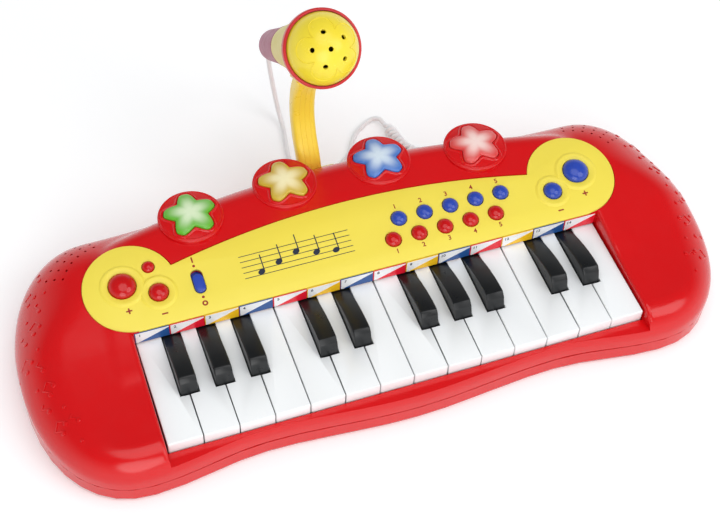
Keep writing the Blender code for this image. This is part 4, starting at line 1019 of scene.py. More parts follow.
def make_lobe_notes():
    """Small raised notes that follow the curve of the lobes."""
    for side, name in ((-1, 'left'), (1, 'right')):
        notes = []
        for number in range(2 * NOTE_COUNT - 1):
            row = NOTE_ROWS[number % 2]
            angle = NOTE_START - NOTE_STEP * number / 2
            x = side * (LOBE_X + LOBE_REACH * row * math.cos(angle))
            y = LOBE_Y + LOBE_DEPTH * row * math.sin(angle)
            turn = Matrix.Rotation(side * (angle - math.pi / 2) / 2, 4, 'Z')
            for outline in note_outlines(NOTE_KINDS[number % len(NOTE_KINDS)]):
                raised = slab(outline, -NOTE_ROOT, NOTE_RELIEF)
                soften(raised, top_edges(raised, NOTE_RELIEF), NOTE_EDGE, 2)
                moved(raised, Matrix.Translation((x, y, 0)) @ turn)
                for vert in raised.verts:
                    spot = vert.co
                    spot.z += top_height(spot.x, spot.y, OUTLINE.distance(spot.x, spot.y))
                notes.append(raised)
        add_piece(f'lobe_notes_{name}', joined(*notes), [CASE_RED], 'case')


def softened_copy(node, width, steepest, chosen=None):
    """A merged copy of a CAD node with its sharp edges rounded."""
    mesh = bmesh.new()
    mesh.from_mesh(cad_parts[node].data)
    moved(mesh, Matrix.Scale(1 / MM, 4))
    bmesh.ops.remove_doubles(mesh, verts=mesh.verts, dist=WELD)
    bmesh.ops.dissolve_limit(mesh, angle_limit=math.radians(1), verts=mesh.verts, edges=mesh.edges)
    edges = []
    for edge in mesh.edges:
        if len(edge.link_faces) == 2 and edge.calc_face_angle() > steepest:
            if chosen is None or chosen(edge):
                edges.append(edge)
    if width:
        soften(mesh, edges, width)
    bmesh.ops.recalc_face_normals(mesh, faces=mesh.faces)
    return mesh


# Keys

def make_keys():
    """White and black keys: the CAD keys with their upper edges rounded."""
    def above(edge):
        return all(vert.co.z > KEY_TOP - WELD for vert in edge.verts) and edge.verts[0].co.y < STRIP_Y

    def in_front(edge):
        upright = all(abs(vert.co.y - KEY_FRONT_Y) < WELD for vert in edge.verts)
        return above(edge) or upright

    for number in range(1, WHITE_KEYS + 1):
        name = f'white_key_{number:02d}'
        mesh = softened_copy(name, WHITE_EDGE, SHARP, in_front)
        add_piece(f'white_key_cap_{number:02d}', mesh, [KEY_WHITE], name, [name])
    for number in range(1, BLACK_KEYS + 1):
        name = f'black_key_{number:02d}'
        mesh = softened_copy(name, BLACK_EDGE, SHARP_ON_BLACK, above)
        add_piece(f'black_key_cap_{number:02d}', mesh, [KEY_BLACK], name, [name])


# Note strip on the riser behind the keys
STRIP_LOW = KEY_TOP + 1.0
STRIP_HIGH = PANEL_HEIGHT - 0.5
STRIP_THICKNESS = 0.15
STRIP_BORDER = 0.45
STRIP_FIGURE = 2.1
STRIP_FIGURE_INSET = 2.4
# How far a coloured corner stays clear of its cell's left and upper border
STRIP_CORNER = (1.5, 0.6)

# Ink: thickness of the film, its spread beyond the drawn shape, and the size of type for a height of one
INK_FILM = 0.05
INK_SPREAD = 0.03
TYPE_SIZE = 1.37
TYPE_STEPS = 3


def figure(sign, height):
    """A plain printed number, a film of ink centred on its place."""
    data = bpy.data.curves.new('figure', 'FONT')
    data.body = sign
    data.size = TYPE_SIZE * height
    data.align_x = 'CENTER'
    data.align_y = 'CENTER'
    data.offset = INK_SPREAD * height
    data.extrude = INK_FILM
    data.resolution_u = TYPE_STEPS
    return shaped(data)


def make_note_strip():
    """A printed label of plain cells, one for each white key, with a coloured corner."""
    whole = []
    upright = Matrix.Translation((0, STRIP_Y, 0)) @ Matrix.Rotation(math.pi / 2, 4, 'X')
    for number in range(WHITE_KEYS):
        left = number * KEY_PITCH - BED_HALF
        right = left + KEY_PITCH - STRIP_BORDER
        colour = 1 + number % len(LABEL_COLOURS)
        cell = bar(left, STRIP_LOW, right, STRIP_HIGH)
        inner_left = left + STRIP_BORDER
        inner_high = STRIP_HIGH - STRIP_BORDER
        white = bar(inner_left, STRIP_LOW, right, inner_high)
        corner = (
            (inner_left + STRIP_CORNER[0], STRIP_LOW),
            (right, STRIP_LOW),
            (right, inner_high - STRIP_CORNER[1]),
        )
        layers = ((cell, colour), (white, 0), (corner, colour))
        for layer, (outline, finish) in enumerate(layers):
            sheet = slab(outline, -STRIP_THICKNESS, STRIP_THICKNESS * (layer + 1))
            whole.append(moved(painted(sheet, finish), upright))
        mark = painted(figure(str(number + 1), STRIP_FIGURE), len(LABEL_COLOURS) + 1)
        spot = (inner_left + STRIP_FIGURE_INSET, inner_high - STRIP_FIGURE, 2 * STRIP_THICKNESS)
        whole.append(moved(mark, upright @ Matrix.Translation(spot)))
    finishes = [LABEL_WHITE, *LABEL_COLOURS, INK_BLUE]
    add_piece('note_strip_label', joined(*whole), finishes, 'case')


# Panel, buttons and switch

# Section of a collar, out and up: its slope from its outer edge, and its dish from the button's side
COLLAR_SLOPE = ((0.3, 0.02), (-0.1, 0.16), (-0.6, 0.62), (-1.0, 0.84), (-1.5, COLLAR_HEIGHT), (-2.1, 0.82))
COLLAR_DISH = ((1.4, 0.5), (0.8, 0.4), (SLIDE_FIT, 0.15))


def collar(radius):
    """A raised ring round a button, with a soft outer slope and a dished inside."""
    root = -PANEL_THICKNESS / 2
    slope = [(radius + COLLAR_MARGIN + out, up) for out, up in COLLAR_SLOPE]
    dish = [(radius + out, up) for out, up in COLLAR_DISH]
    foot = (slope[0][0], root)
    return lathe([foot, *slope, *dish, (dish[-1][0], root), foot], BUTTON_SIDES)


def make_panel():
    """The yellow plate with its raised collars."""
    plate = slab(panel_outline(0.0, GAP), -PANEL_THICKNESS, 0.0)
    soften(plate, top_edges(plate, 0.0), PANEL_EDGE, 2)
    plate = carve(plate, button_holes())
    collars = []
    for _, (x, up), radius, _, _, _, collared in button_list():
        if collared:
            collars.append(moved(collar(radius), Matrix.Translation((x, up, 0))))
    plate = moved(joined(plate, *collars), panel_matrix())
    add_piece('control_panel_plate', plate, [PANEL_YELLOW], 'case', ['control_panel'])


# Marks on the panel
FIGURE_HEIGHT = 2.9
FIGURE_GAP = 3.2
SIGN_REACH = 1.7
SIGN_WIDTH = 0.85
SIGN_GAP = 2.9
SWITCH_DOT = 0.8
SWITCH_DOT_GAP = 2.6
SWITCH_SIGN_GAP = 6.4
ZERO_RADIUS = 1.6
ZERO_CUT = 1.0
STAVE_MIDDLE = (-38.0, 21.5)
STAVE_HALF = 32.0
STAVE_LINE = 0.4
STAVE_SPACE = 3.4
STAVE_NOTES = ((-22.0, -1.5), (-11.0, -0.5), (0.0, 0.5), (11.0, -0.5), (22.0, -1.0))
STAVE_HEAD = (2.1, 1.55)
STAVE_HEAD_TURN = math.radians(20)
STAVE_STEM = (0.6, 10.5)


def film(outline):
    """A thin layer of ink."""
    return slab(outline, -INK_FILM, INK_FILM)


def red_marks():
    """Numbers at both rows of buttons, plus and minus at the round ends, line and ring at the switch."""
    marks = []
    for count in range(ROW_COUNT):
        rows = ((VOICE_ROW, ROW_RADIUS + FIGURE_GAP), (RHYTHM_ROW, -ROW_RADIUS - FIGURE_GAP))
        for (x, up), shift in rows:
            place = Matrix.Translation((x + count * ROW_PITCH, up + shift, 0))
            marks.append(moved(figure(str(count + 1), FIGURE_HEIGHT), place))
    flat = bar(-SIGN_REACH, -SIGN_WIDTH / 2, SIGN_REACH, SIGN_WIDTH / 2)
    upright = bar(-SIGN_WIDTH / 2, -SIGN_REACH, SIGN_WIDTH / 2, SIGN_REACH)
    for side in (-1, 1):
        x, up = LARGE_SPOT
        plus = carve(film(flat), film(upright), operation='UNION')
        up -= LARGE_RADIUS + COLLAR_MARGIN + SIGN_GAP
        marks.append(moved(plus, Matrix.Translation((side * x, up, 0))))
        x, up = SMALL_SPOT
        up -= SMALL_RADIUS + COLLAR_MARGIN + SIGN_GAP
        marks.append(moved(film(flat), Matrix.Translation((side * x, up, 0))))
    x, up = SWITCH_SPOT
    end = (SWITCH_LENGTH + SWITCH_TRAVEL) / 2
    for side in (-1, 1):
        spot = film(disc(SWITCH_DOT, ROUND_SPOT_SIDES, x, up + side * (end + SWITCH_DOT_GAP)))
        marks.append(spot)
    marks.append(moved(film(upright), Matrix.Translation((x, up + end + SWITCH_SIGN_GAP, 0))))
    zero = carve(
        film(disc(ZERO_RADIUS, ROUND_LINE_SIDES)),
        slab(disc(ZERO_RADIUS - SIGN_WIDTH, ROUND_LINE_SIDES), -ZERO_CUT, ZERO_CUT))
    marks.append(moved(zero, Matrix.Translation((x, up - end - SWITCH_SIGN_GAP, 0))))
    return joined(*marks)


def stave():
    """Five plain lines with five notes."""
    width, length = STAVE_STEM
    parts = []
    for line in range(-2, 3):
        level = line * STAVE_SPACE
        low = level - STAVE_LINE / 2
        parts.append(film(bar(-STAVE_HALF, low, STAVE_HALF, low + STAVE_LINE)))
    shape = Matrix.Rotation(STAVE_HEAD_TURN, 4, 'Z') @ Matrix.Diagonal((*STAVE_HEAD, 1, 1))
    for x, line in STAVE_NOTES:
        level = line * STAVE_SPACE
        head = slab(disc(1.0, ROUND_LINE_SIDES), -2 * INK_FILM, 2 * INK_FILM)
        parts.append(moved(head, Matrix.Translation((x, level, 0)) @ shape))
        right = x + STAVE_HEAD[0] * math.cos(STAVE_HEAD_TURN)
        parts.append(slab(bar(right - width, level, right, level + length), -2 * INK_FILM, 2 * INK_FILM))
    return moved(painted(joined(*parts), 1), Matrix.Translation((*STAVE_MIDDLE, 0)))


def make_panel_print():
    """Plain printed marks on the yellow plate."""
    ink = moved(joined(red_marks(), stave()), panel_matrix())
    add_piece('panel_print', ink, [INK_RED, INK_BLUE], 'case')


# Share of a button's stand that is its upright side, and the arc and steps of its dome
CAP_UPRIGHT = 0.2
CAP_ARC = math.radians(72)
CAP_STEPS = 10


def make_buttons():
    """Moulded caps with a domed top and a flange below the panel."""
    for name, spot, radius, stand, finish, slot, _ in button_list():
        flange = radius + BUTTON_GRIP
        upright = CAP_UPRIGHT * stand
        profile = [(0, FLANGE_FOOT), (flange, FLANGE_FOOT), (flange, FLANGE_TOP), (radius, FLANGE_TOP)]
        for step in range(CAP_STEPS + 1):
            turn = CAP_ARC * (1 - step / CAP_STEPS)
            share = (math.cos(turn) - math.cos(CAP_ARC)) / (1 - math.cos(CAP_ARC))
            reach = radius * math.sin(turn) / math.sin(CAP_ARC)
            profile.append((reach, upright + (stand - upright) * share))
        cap = moved(lathe(profile, BUTTON_SIDES), panel_matrix(*spot))
        add_piece(f'{name}_cap', cap, [finish], name, [name])


# Power switch: margin of its hidden plate, width and height shares of its dome, and share that is upright
SWITCH_PLATE_MARGIN = 3.0
SWITCH_DOME = ((1.0, 0.0), (0.97, 0.5), (0.88, 0.8), (0.72, 0.95), (0.45, 1.0))
SWITCH_UPRIGHT = 0.5


def make_switch():
    """The sliding power switch: a smooth domed cap on a plate below the panel."""
    outline = pill(SWITCH_WIDTH, SWITCH_LENGTH)
    upright = SWITCH_UPRIGHT * SWITCH_STAND
    rings = [[Vector((x, up, FLANGE_FOOT)) for x, up in outline]]
    for share, rise in SWITCH_DOME:
        draw_in = (1 - share) * SWITCH_WIDTH
        level = upright + (SWITCH_STAND - upright) * rise
        drawn_in = pill(SWITCH_WIDTH - draw_in, SWITCH_LENGTH - draw_in)
        rings.append([Vector((x, up, level)) for x, up in drawn_in])
    margin = 2 * SWITCH_PLATE_MARGIN
    plate_outline = pill(SWITCH_WIDTH + margin, SWITCH_LENGTH + SWITCH_TRAVEL + margin)
    plate = slab(plate_outline, FLANGE_FOOT - BUTTON_FLANGE, FLANGE_TOP)
    x, up = SWITCH_SPOT
    switch = moved(joined(loft(rings), plate), panel_matrix(x, up - SWITCH_TRAVEL / 2))
    add_piece('power_switch_cap', switch, [BUTTON_BLUE], 'power_switch', ['power_switch'])


# Star seats and pads

# Section of the soft ridge round a star, out from its edge and up, and of the bead in from a seat's rim
RIDGE = ((2.4, 0.0), (2.0, 0.4), (1.4, 0.6), (0.9, 0.45), (SLIDE_FIT, 0.1))
SEAT_BEAD = ((0.25, 0.3), (0.6, 0.35), (0.95, 0.2), (1.2, 0.0))
# Shares of the way from a seat's rim to the ridge at which its roof has a ring of points
SEAT_ROOF_SHARES = (0.35, 0.7)


def star_radius(angle):
    """Reach of the five-lobed outline, its first tip to the back."""
    step = math.tau / STAR_LOBES
    off_tip = abs((angle - math.pi / 2 + step / 2) % step - step / 2)
    side = STAR_POINT * STAR_NOTCH * math.sin(step / 2)
    side /= STAR_NOTCH * math.sin(step / 2 - off_tip) + STAR_POINT * math.sin(off_tip)
    return smooth_min(side, STAR_TIP, STAR_BLUNTNESS)


def seat_roof(radius):
    """Height of a seat's domed top at a distance from its middle."""
    return SEAT_EDGE + SEAT_RISE * (1 - (radius / SEAT_RADIUS) ** 2)


def star_ring(reach, height):
    """A ring of points whose reach and height follow from the angle and the star's reach there."""
    ring = []
    for step in range(STAR_STEPS):
        angle = math.tau * step / STAR_STEPS
        radius = reach(star_radius(angle))
        ring.append(Vector((radius * math.cos(angle), radius * math.sin(angle), height(radius))))
    return ring


def make_star_seats():
    """Round seats on the crown, each with a star hole and a soft ridge round it."""
    inner = SEAT_RADIUS - SEAT_WALL
    shoulder = SEAT_RADIUS - SEAT_ROUND
    under = SEAT_EDGE - SEAT_WALL
    rings = [star_ring(lambda star: inner, lambda radius: SEAT_FOOT)]
    rings.append(star_ring(lambda star: SEAT_RADIUS, lambda radius: SEAT_FOOT))
    for step in range(SEAT_ROUND_STEPS + 1):
        turn = math.pi / 2 * step / SEAT_ROUND_STEPS
        reach = shoulder + SEAT_ROUND * math.cos(turn)
        level = SEAT_EDGE - SEAT_ROUND * (1 - math.sin(turn))
        rings.append(star_ring(lambda star: reach, lambda radius: level))
    for draw_in, rise in SEAT_BEAD:
        reach = shoulder - draw_in
        rings.append(star_ring(lambda star: reach, lambda radius: seat_roof(radius) + rise))
    brim = shoulder - SEAT_BEAD[-1][0]
    for share in SEAT_ROOF_SHARES:
        rings.append(star_ring(lambda star: brim + (star + RIDGE[0][0] - brim) * share, seat_roof))
    for grow, rise in RIDGE:
        rings.append(star_ring(lambda star: star + grow, lambda radius: seat_roof(radius) + rise))
    rings.append(star_ring(lambda star: star + SLIDE_FIT, lambda radius: under))
    rings.append(star_ring(lambda star: inner, lambda radius: under))
    for number, (x, y) in enumerate(BACK_STARS, 1):
        seat = moved(loft(rings, looped=True), Matrix.Translation((x, y, 0)))
        add_piece(f'star_seat_{number}', seat, [CASE_RED], 'case')


# Width shares of the rings of a star pad's plump top
PAD_SHARES = (1.0, 0.985, 0.96, 0.92, 0.86, 0.76, 0.6, 0.4, 0.18)
PAD_SHOULDER = 0.22
PAD_LOW = 0.35
# How fast a pad's painted glow grows pale from its edge to its middle
PAD_PAINTED_GLOW = 1.25


def make_star_pads():
    """Plump five-lobed pads, each with a flange under the seat's roof."""
    under = SEAT_EDGE - SEAT_WALL - SEAT_ROUND - GAP
    rings = []
    for grow, level in ((STAR_FLANGE, under - STAR_FLANGE), (STAR_FLANGE, under), (0.0, under)):
        rings.append(star_ring(lambda star: star + grow, lambda radius: level))
    for share in PAD_SHARES:
        stand = STAR_STAND * (PAD_LOW + (1 - PAD_LOW) * quarter_round((1 - share) / PAD_SHOULDER))
        rings.append(star_ring(lambda star: star * share, lambda radius: seat_roof(radius) + stand))
    colours = ('green', 'yellow', 'blue', 'red')
    for number, ((x, y), finish, colour) in enumerate(zip(BACK_STARS, STAR_FINISHES, colours), 1):
        pad = loft(rings)
        # Painted glow from the lamp below: each point above the seat gets a share that pales its tint
        # towards the middle
        glow = pad.verts.layers.float.new('glow')
        for vert in pad.verts:
            if vert.co.z > SEAT_EDGE:
                spot = vert.co.xy
                share = spot.length / star_radius(math.atan2(spot.y, spot.x))
                vert[glow] = smooth_step((1 - share) * PAD_PAINTED_GLOW)
        moved(pad, Matrix.Translation((x, y, 0)))
        name = f'star_pad_{number}'
        add_piece(f'{name}_cap', pad, [finish], name, [name])


# Microphone

# Broken edges of the handle and the tail cap, and how much the handle widens along one
SHELL_EDGE = 0.5
FINE_EDGE = 0.4
TAPER_STEP = 0.05


def handle_radius(back):
    """Outer radius of the handle at a distance behind the ring."""
    return HANDLE_FRONT + (HANDLE_REAR - HANDLE_FRONT) * (back - RING_BACK) / HANDLE_LENGTH


def peg_form(fit, from_y, to_y):
    """A round bar across the microphone, on the arm's side, in the microphone's own frame."""
    peg = lathe(((PEG_RADIUS + fit, from_y), (PEG_RADIUS + fit, to_y)), HOLE_SIDES)
    return moved(peg, Matrix.Translation((0, 0, -SADDLE_AT)) @ Matrix.Rotation(-math.pi / 2, 4, 'X'))


def flower_ridge(radius):
    """A fine raised line on the dome, round its holes, in five lobes."""
    rings = []
    for step in range(FLOWER_STEPS):
        angle = math.tau * step / FLOWER_STEPS
        lobe = abs(math.cos(GRILLE_HOLES / 2 * (angle - GRILLE_HOLE_START)))
        lean = FLOWER_LEAN[0] + (FLOWER_LEAN[1] - FLOWER_LEAN[0]) * lobe**0.5
        about = Matrix.Rotation(angle, 3, 'Z') @ Matrix.Rotation(lean, 3, 'Y')
        outward = about @ Vector((0, 0, 1))
        across = about @ Vector((1, 0, 0))
        ring = []
        for side in range(FLOWER_SIDES):
            turn = math.tau * side / FLOWER_SIDES
            shift = outward * math.cos(turn) + across * math.sin(turn)
            spot = outward * radius + shift * FLOWER_LINE
            ring.append(Vector((spot.x, spot.y, spot.z * GRILLE_HEIGHT / radius)))
        rings.append(ring)
    return loft(rings, looped=True)


def add_mic_piece(name, mesh, finish):
    """A piece of the microphone, made in the microphone's own frame."""
    moved(mesh, MIC_MATRIX)
    add_piece(f'microphone_{name}_shell', mesh, [finish], 'microphone', [f'microphone_{name}'])


def make_mic_ring():
    """The ring that the grille sits in, with round edges."""
    seat = RING_RADIUS - RING_BAND
    bore = HANDLE_FRONT - MIC_WALL
    rear = GAP - RING_BACK
    profile = [(bore, rear)]
    for middle, start in ((rear + RING_ROUND, -math.pi / 2), (RING_FRONT - RING_ROUND, 0.0)):
        for step in range(RING_ROUND_STEPS + 1):
            turn = start + math.pi / 2 * step / RING_ROUND_STEPS
            reach = RING_RADIUS - RING_ROUND + RING_ROUND * math.cos(turn)
            profile.append((reach, middle + RING_ROUND * math.sin(turn)))
    profile += [(seat, RING_FRONT), (seat, 0.0), (bore, 0.0), (bore, rear)]
    add_mic_piece('ring', lathe(profile, MIC_SIDES), MIC_RED)


def make_mic_grille():
    """A thin dome with one hole in its middle, more round it, and a fine raised line."""
    radius = RING_RADIUS - RING_BAND - GAP
    dome = []
    for skin, order in ((0.0, 1), (MIC_WALL, -1)):
        curve = []
        for step in range(GRILLE_STEPS + 1):
            turn = math.pi / 2 * step / GRILLE_STEPS
            height = GAP + (GRILLE_HEIGHT - skin) * math.sin(turn)
            curve.append(((radius - skin) * math.cos(turn), height))
        dome += curve[::order]
    dome.append(dome[0])
    holes = []
    for number in range(GRILLE_HOLES + 1):
        hole = lathe((
            (GRILLE_HOLE, radius / 2),
            (GRILLE_HOLE, GRILLE_HEIGHT - GRILLE_DIMPLE_DEPTH),
            (GRILLE_DIMPLE, GRILLE_HEIGHT + GRILLE_DIMPLE_DEPTH),
            (GRILLE_DIMPLE, 2 * GRILLE_HEIGHT),
        ), HOLE_SIDES)
        if number:
            turn = Matrix.Rotation(GRILLE_HOLE_START + math.tau * number / GRILLE_HOLES, 4, 'Z')
            lean = Matrix.Rotation(math.asin(GRILLE_HOLE_SPREAD / radius), 4, 'Y')
            moved(hole, turn @ lean)
        holes.append(moved(hole, Matrix.Translation((0, 0, GAP))))
    grille = carve(lathe(dome, MIC_SIDES), joined(*holes))
    grille = joined(grille, moved(flower_ridge(radius), Matrix.Translation((0, 0, GAP))))
    add_mic_piece('grille', grille, MIC_YELLOW)


def make_mic_handle():
    """A tapered tube with a hole for the peg."""
    front = -RING_BACK
    rear = front - HANDLE_LENGTH
    tube = lathe((
        (HANDLE_FRONT - SHELL_EDGE, front),
        (HANDLE_FRONT, front - SHELL_EDGE),
        (HANDLE_REAR + TAPER_STEP, rear + SHELL_EDGE),
        (HANDLE_REAR - FINE_EDGE, rear),
        (HANDLE_REAR - MIC_WALL, rear),
        (HANDLE_FRONT - MIC_WALL, front),
        (HANDLE_FRONT - SHELL_EDGE, front),
    ), MIC_SIDES)
    handle = carve(tube, peg_form(SLIDE_FIT, -2 * HANDLE_FRONT, -HANDLE_REAR / 2))
    add_mic_piece('handle', handle, HANDLE_YELLOW_PAINTED_SHADE)


def make_mic_tail():
    """The tail cap: a collar as wide as the handle, and a tapered end with a round edge."""
    end = TAIL_START - TAIL_LENGTH
    socket = HANDLE_REAR - 3 * MIC_WALL
    socket_floor = TAIL_START - 2 * TAIL_COLLAR
    profile = [
        (0, socket_floor),
        (socket, socket_floor),
        (socket, TAIL_START),
        (HANDLE_REAR - FINE_EDGE, TAIL_START),
        (HANDLE_REAR, TAIL_START - FINE_EDGE),
        (HANDLE_REAR, TAIL_START - TAIL_COLLAR + FINE_EDGE),
        (HANDLE_REAR - SHELL_EDGE, TAIL_START - TAIL_COLLAR),
    ]
    for step in range(CAP_STEPS + 1):
        turn = math.pi / 2 * step / CAP_STEPS
        reach = TAIL_END - TAIL_ROUND * (1 - math.cos(turn))
        profile.append((reach, end + TAIL_ROUND * (1 - math.sin(turn))))
    profile.append((0, end))
    add_mic_piece('tail', lathe(profile, MIC_SIDES), TAIL_ROSE_PAINTED_SHADE)


# Arm
ARM_CORNER_STEPS = 4
ARM_STEPS = 8
SADDLE_STEPS = 12
BASE_EDGE = 2.0
ARM_RIB = 0.25
ARM_RIBS = (-2.6, 0.4, 3.4)


def rounded_section(width, thickness, corner):
    """A rectangle with round corners, across and through."""
    points = []
    for quarter in range(4):
        across = 1 if quarter in (0, 3) else -1
        through = 1 if quarter < 2 else -1
        for step in range(ARM_CORNER_STEPS + 1):
            angle = math.pi / 2 * (quarter + step / ARM_CORNER_STEPS)
            points.append((
                across * (width / 2 - corner) + corner * math.cos(angle),
                through * (thickness / 2 - corner) + corner * math.sin(angle),
            ))
    return points


def along_arm(path, section):
    """A section of points, across and through, drawn along the arm's middle line."""
    rings = []
    for here, point in enumerate(path):
        along = path[min(here + 1, len(path) - 1)] - path[max(here - 1, 0)]
        side = Vector((along.y, -along.x)).normalized()
        ring = []
        for across, through in section:
            spot = point + side * through
            ring.append(Vector((MIC_X + across, spot.x, spot.y)))
        rings.append(ring)
    return loft(rings)


def make_arm():
    """A base on the back of the case, a bowed stem, and a saddle with a peg."""
    radius = handle_radius(SADDLE_AT)
    top = MIC_MATRIX @ Vector((0, -radius - SADDLE_WALL / 2, -SADDLE_AT))
    route = [Vector((BACK_Y + behind, height)) for behind, height in ARM_ROUTE]
    path = smooth_curve(route + [Vector((top.y, top.z))], ARM_STEPS)
    stem = along_arm(path, rounded_section(ARM_WIDTH, ARM_THICKNESS, ARM_ROUND))
    ribs = []
    for middle in ARM_RIBS:
        section = [(middle + x, y - ARM_THICKNESS / 2) for x, y in disc(ARM_RIB, ROUND_LINE_SIDES)]
        ribs.append(along_arm(path[:-ARM_STEPS // 2], section))
    rings = []
    for step in range(SADDLE_STEPS + 1):
        angle = 1.5 * math.pi + SADDLE_TURN * (2 * step / SADDLE_STEPS - 1)
        ring = []
        for across, through in rounded_section(SADDLE_WIDTH, 2 * SADDLE_WALL, SADDLE_WALL / 2):
            along = across - SADDLE_AT
            reach = handle_radius(-along) + through
            ring.append(Vector((reach * math.cos(angle), reach * math.sin(angle), along)))
        rings.append(ring)
    saddle = moved(loft(rings), MIC_MATRIX)
    arm = carve(stem, saddle, operation='UNION')
    front = -RING_BACK
    room = lathe((
        (HANDLE_FRONT + SLIDE_FIT, front),
        (HANDLE_REAR + SLIDE_FIT, front - HANDLE_LENGTH),
    ), MIC_SIDES)
    arm = carve(arm, moved(room, MIC_MATRIX))
    peg = peg_form(0.0, -radius - SADDLE_WALL / 2, -radius + PEG_REACH)
    base = block(
        (MIC_X - ARM_BASE_WIDTH / 2, BACK_Y - CROWN_ROLL, ARM_BASE_FOOT),
        (MIC_X + ARM_BASE_WIDTH / 2, BACK_Y + ARM_BASE_REACH, ARM_BASE_TOP))
    soften(base, list(base.edges), BASE_EDGE)
    arm = joined(arm, moved(peg, MIC_MATRIX), base, *ribs)
    add_piece('microphone_arm_bow', arm, [ARM_YELLOW], 'case', ['microphone_arm'])


# Cord

def curl(axis):
    """A helix round a line of points, drawn out to the line at both ends."""
    lengths = [0.0]
    for here, there in zip(axis, axis[1:]):
        lengths.append(lengths[-1] + (there - here).length)
    turns = round(lengths[-1] / COIL_PITCH)
    count = turns * COIL_POINTS
    points = []
    span = 0
    angle = 0.0
    for step in range(count + 1):
        along = lengths[-1] * step / count
        while span < len(axis) - 2 and lengths[span + 1] < along:
            span += 1
        part = (along - lengths[span]) / (lengths[span + 1] - lengths[span])
        middle = axis[span].lerp(axis[span + 1], part)
        forward = (axis[min(span + 2, len(axis) - 1)] - axis[max(span - 1, 0)]).normalized()
        side = forward.cross(Vector((0, 0, 1))).normalized()
        rise = side.cross(forward)
        share = smooth_step(min(along, lengths[-1] - along) / COIL_RUN_IN)
        radius = COIL_TURN_RADIUS * share
        angle += math.tau / COIL_POINTS * share
        points.append(middle + radius * (side * math.cos(angle) + rise * math.sin(angle)))
    return points


def cord_points():
    """The cord's middle line: a lead from the microphone, a curly stretch, and a lead into the case."""
    tail_end = MIC_MATRIX @ Vector((0, 0, TAIL_START - TAIL_LENGTH))
    outward = (MIC_MATRIX.to_3x3() @ Vector((0, 0, -1))).normalized()
    coil = [Vector((x, BACK_Y + behind, COIL_LIE)) for x, behind in COIL_ROUTE]
    coil_in = (coil[0] - coil[1]).normalized()
    lead = [tail_end - outward * CORD_RADIUS, tail_end + outward * TAIL_STRAIGHT]
    lead += [Vector((x, BACK_Y + behind, height)) for x, behind, height in LEAD_ROUTE]
    lead += [coil[0] + coil_in * LEAD_IN, coil[0]]
    mouth = Vector((GLAND_X, gland_wall() + GLAND_REACH, GLAND_HEIGHT))
    end = [coil[-1]] + [Vector((x, BACK_Y + behind, height)) for x, behind, height in END_ROUTE]
    end += [mouth + Vector((0, LEAD_IN, 0)), mouth - Vector((0, CORD_RADIUS, 0))]
    curly = curl(smooth_curve(coil, CURVE_STEPS))
    return smooth_curve(lead, CURVE_STEPS)[:-1] + curly[:-1] + smooth_curve(end, CURVE_STEPS)


def gland_wall():
    """Depth of the back wall where the cord goes in."""
    return BACK_Y - wave(BACK_DROP, 0.0, 1 - GLAND_X / LOBE_X)


def make_cord():
    """The cord, from the microphone's tail, across and behind the case, and into its back, as one piece at
    its place.
    """
    points = cord_points()
    data = bpy.data.curves.new('microphone_lead', 'CURVE')
    data.dimensions = '3D'
    data.bevel_depth = CORD_RADIUS
    data.bevel_resolution = CORD_BEVEL_STEPS
    data.use_fill_caps = True
    line = data.splines.new('POLY')
    line.points.add(len(points) - 1)
    for vertex, point in zip(line.points, points):
        vertex.co = (*point, 1.0)
    solids = ('microphone_cord', 'microphone_cord_coil', 'microphone_cord_end')
    cord = finished('microphone_lead', shaped(data), [CORD_WHITE], solids, crease=60)
    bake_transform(cord)


# Underside
DOOR_EDGE = 0.5
DOOR_RIBS = 6
DOOR_RIB_PITCH = 2.2
DOOR_RIB = (22.0, 1.0, 0.6)
DOOR_RIB_SETBACK = 4.0
CROSS_REACH = 2.0
CROSS_WIDTH = 0.75
CROSS_DEPTH = 1.2
# Screw head: its height, and its round top, out from the middle and up from the crown
SCREW_HEAD_HEIGHT = 2.4
SCREW_CROWN = ((0.0, 0.0), (1.4, 0.15), (2.5, 0.6), (SCREW_RADIUS, 1.3))


def even_shading(piece):
    """Lets a piece's large flat faces set the shading at their edges."""
    weighted = piece.modifiers.new('even_shading', 'WEIGHTED_NORMAL')
    weighted.keep_sharp = True


def screw_head():
    """A round head with a cross for the driver, its crown downward."""
    crown = SCREW_DEPTH - SCREW_HEAD_HEIGHT
    profile = [(reach, crown + up) for reach, up in SCREW_CROWN]
    profile += [(SCREW_RADIUS, SCREW_DEPTH), (0, SCREW_DEPTH)]
    half = CROSS_WIDTH / 2
    bottom = crown + CROSS_DEPTH
    arms = (
        block((-CROSS_REACH, -half, 0), (CROSS_REACH, half, bottom)),
        block((-half, -CROSS_REACH, 0), (half, CROSS_REACH, bottom)),
    )
    return carve(lathe(profile, HOLE_SIDES), *arms)


def make_underside():
    """The lower case, the battery door with its finger grooves, and four cross-head screws."""
    tray = softened_copy('lower_case', 0.0, SHARP)
    even_shading(add_piece('lower_case_tray', tray, [CASE_RED], 'case', ['lower_case']))
    door = softened_copy('battery_door', DOOR_EDGE, SHARP)
    low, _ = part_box('battery_door')
    ribs = []
    for number in range(DOOR_RIBS):
        middle = low.y / MM + DOOR_RIB_SETBACK + number * DOOR_RIB_PITCH
        length, width, depth = DOOR_RIB
        rib = block((-length / 2, middle - width / 2, -WELD), (length / 2, middle + width / 2, depth))
        ribs.append(rib)
    door = carve(door, joined(*ribs))
    cover = add_piece('battery_door_cover', door, [CASE_RED], 'battery_door', ['battery_door'])
    even_shading(cover)
    screws = ((LOBE_SCREW[0], FRONT_Y + LOBE_SCREW[1]), (BACK_SCREW[0], BACK_Y - BACK_SCREW[1]))
    spots = [(side * x, y) for x, y in screws for side in (-1, 1)]
    for number, (x, y) in enumerate(spots, 1):
        head = moved(screw_head(), Matrix.Translation((x, y, 0)))
        add_piece(f'case_screw_{number}', head, [SCREW_ZINC], 'case')


# Stage

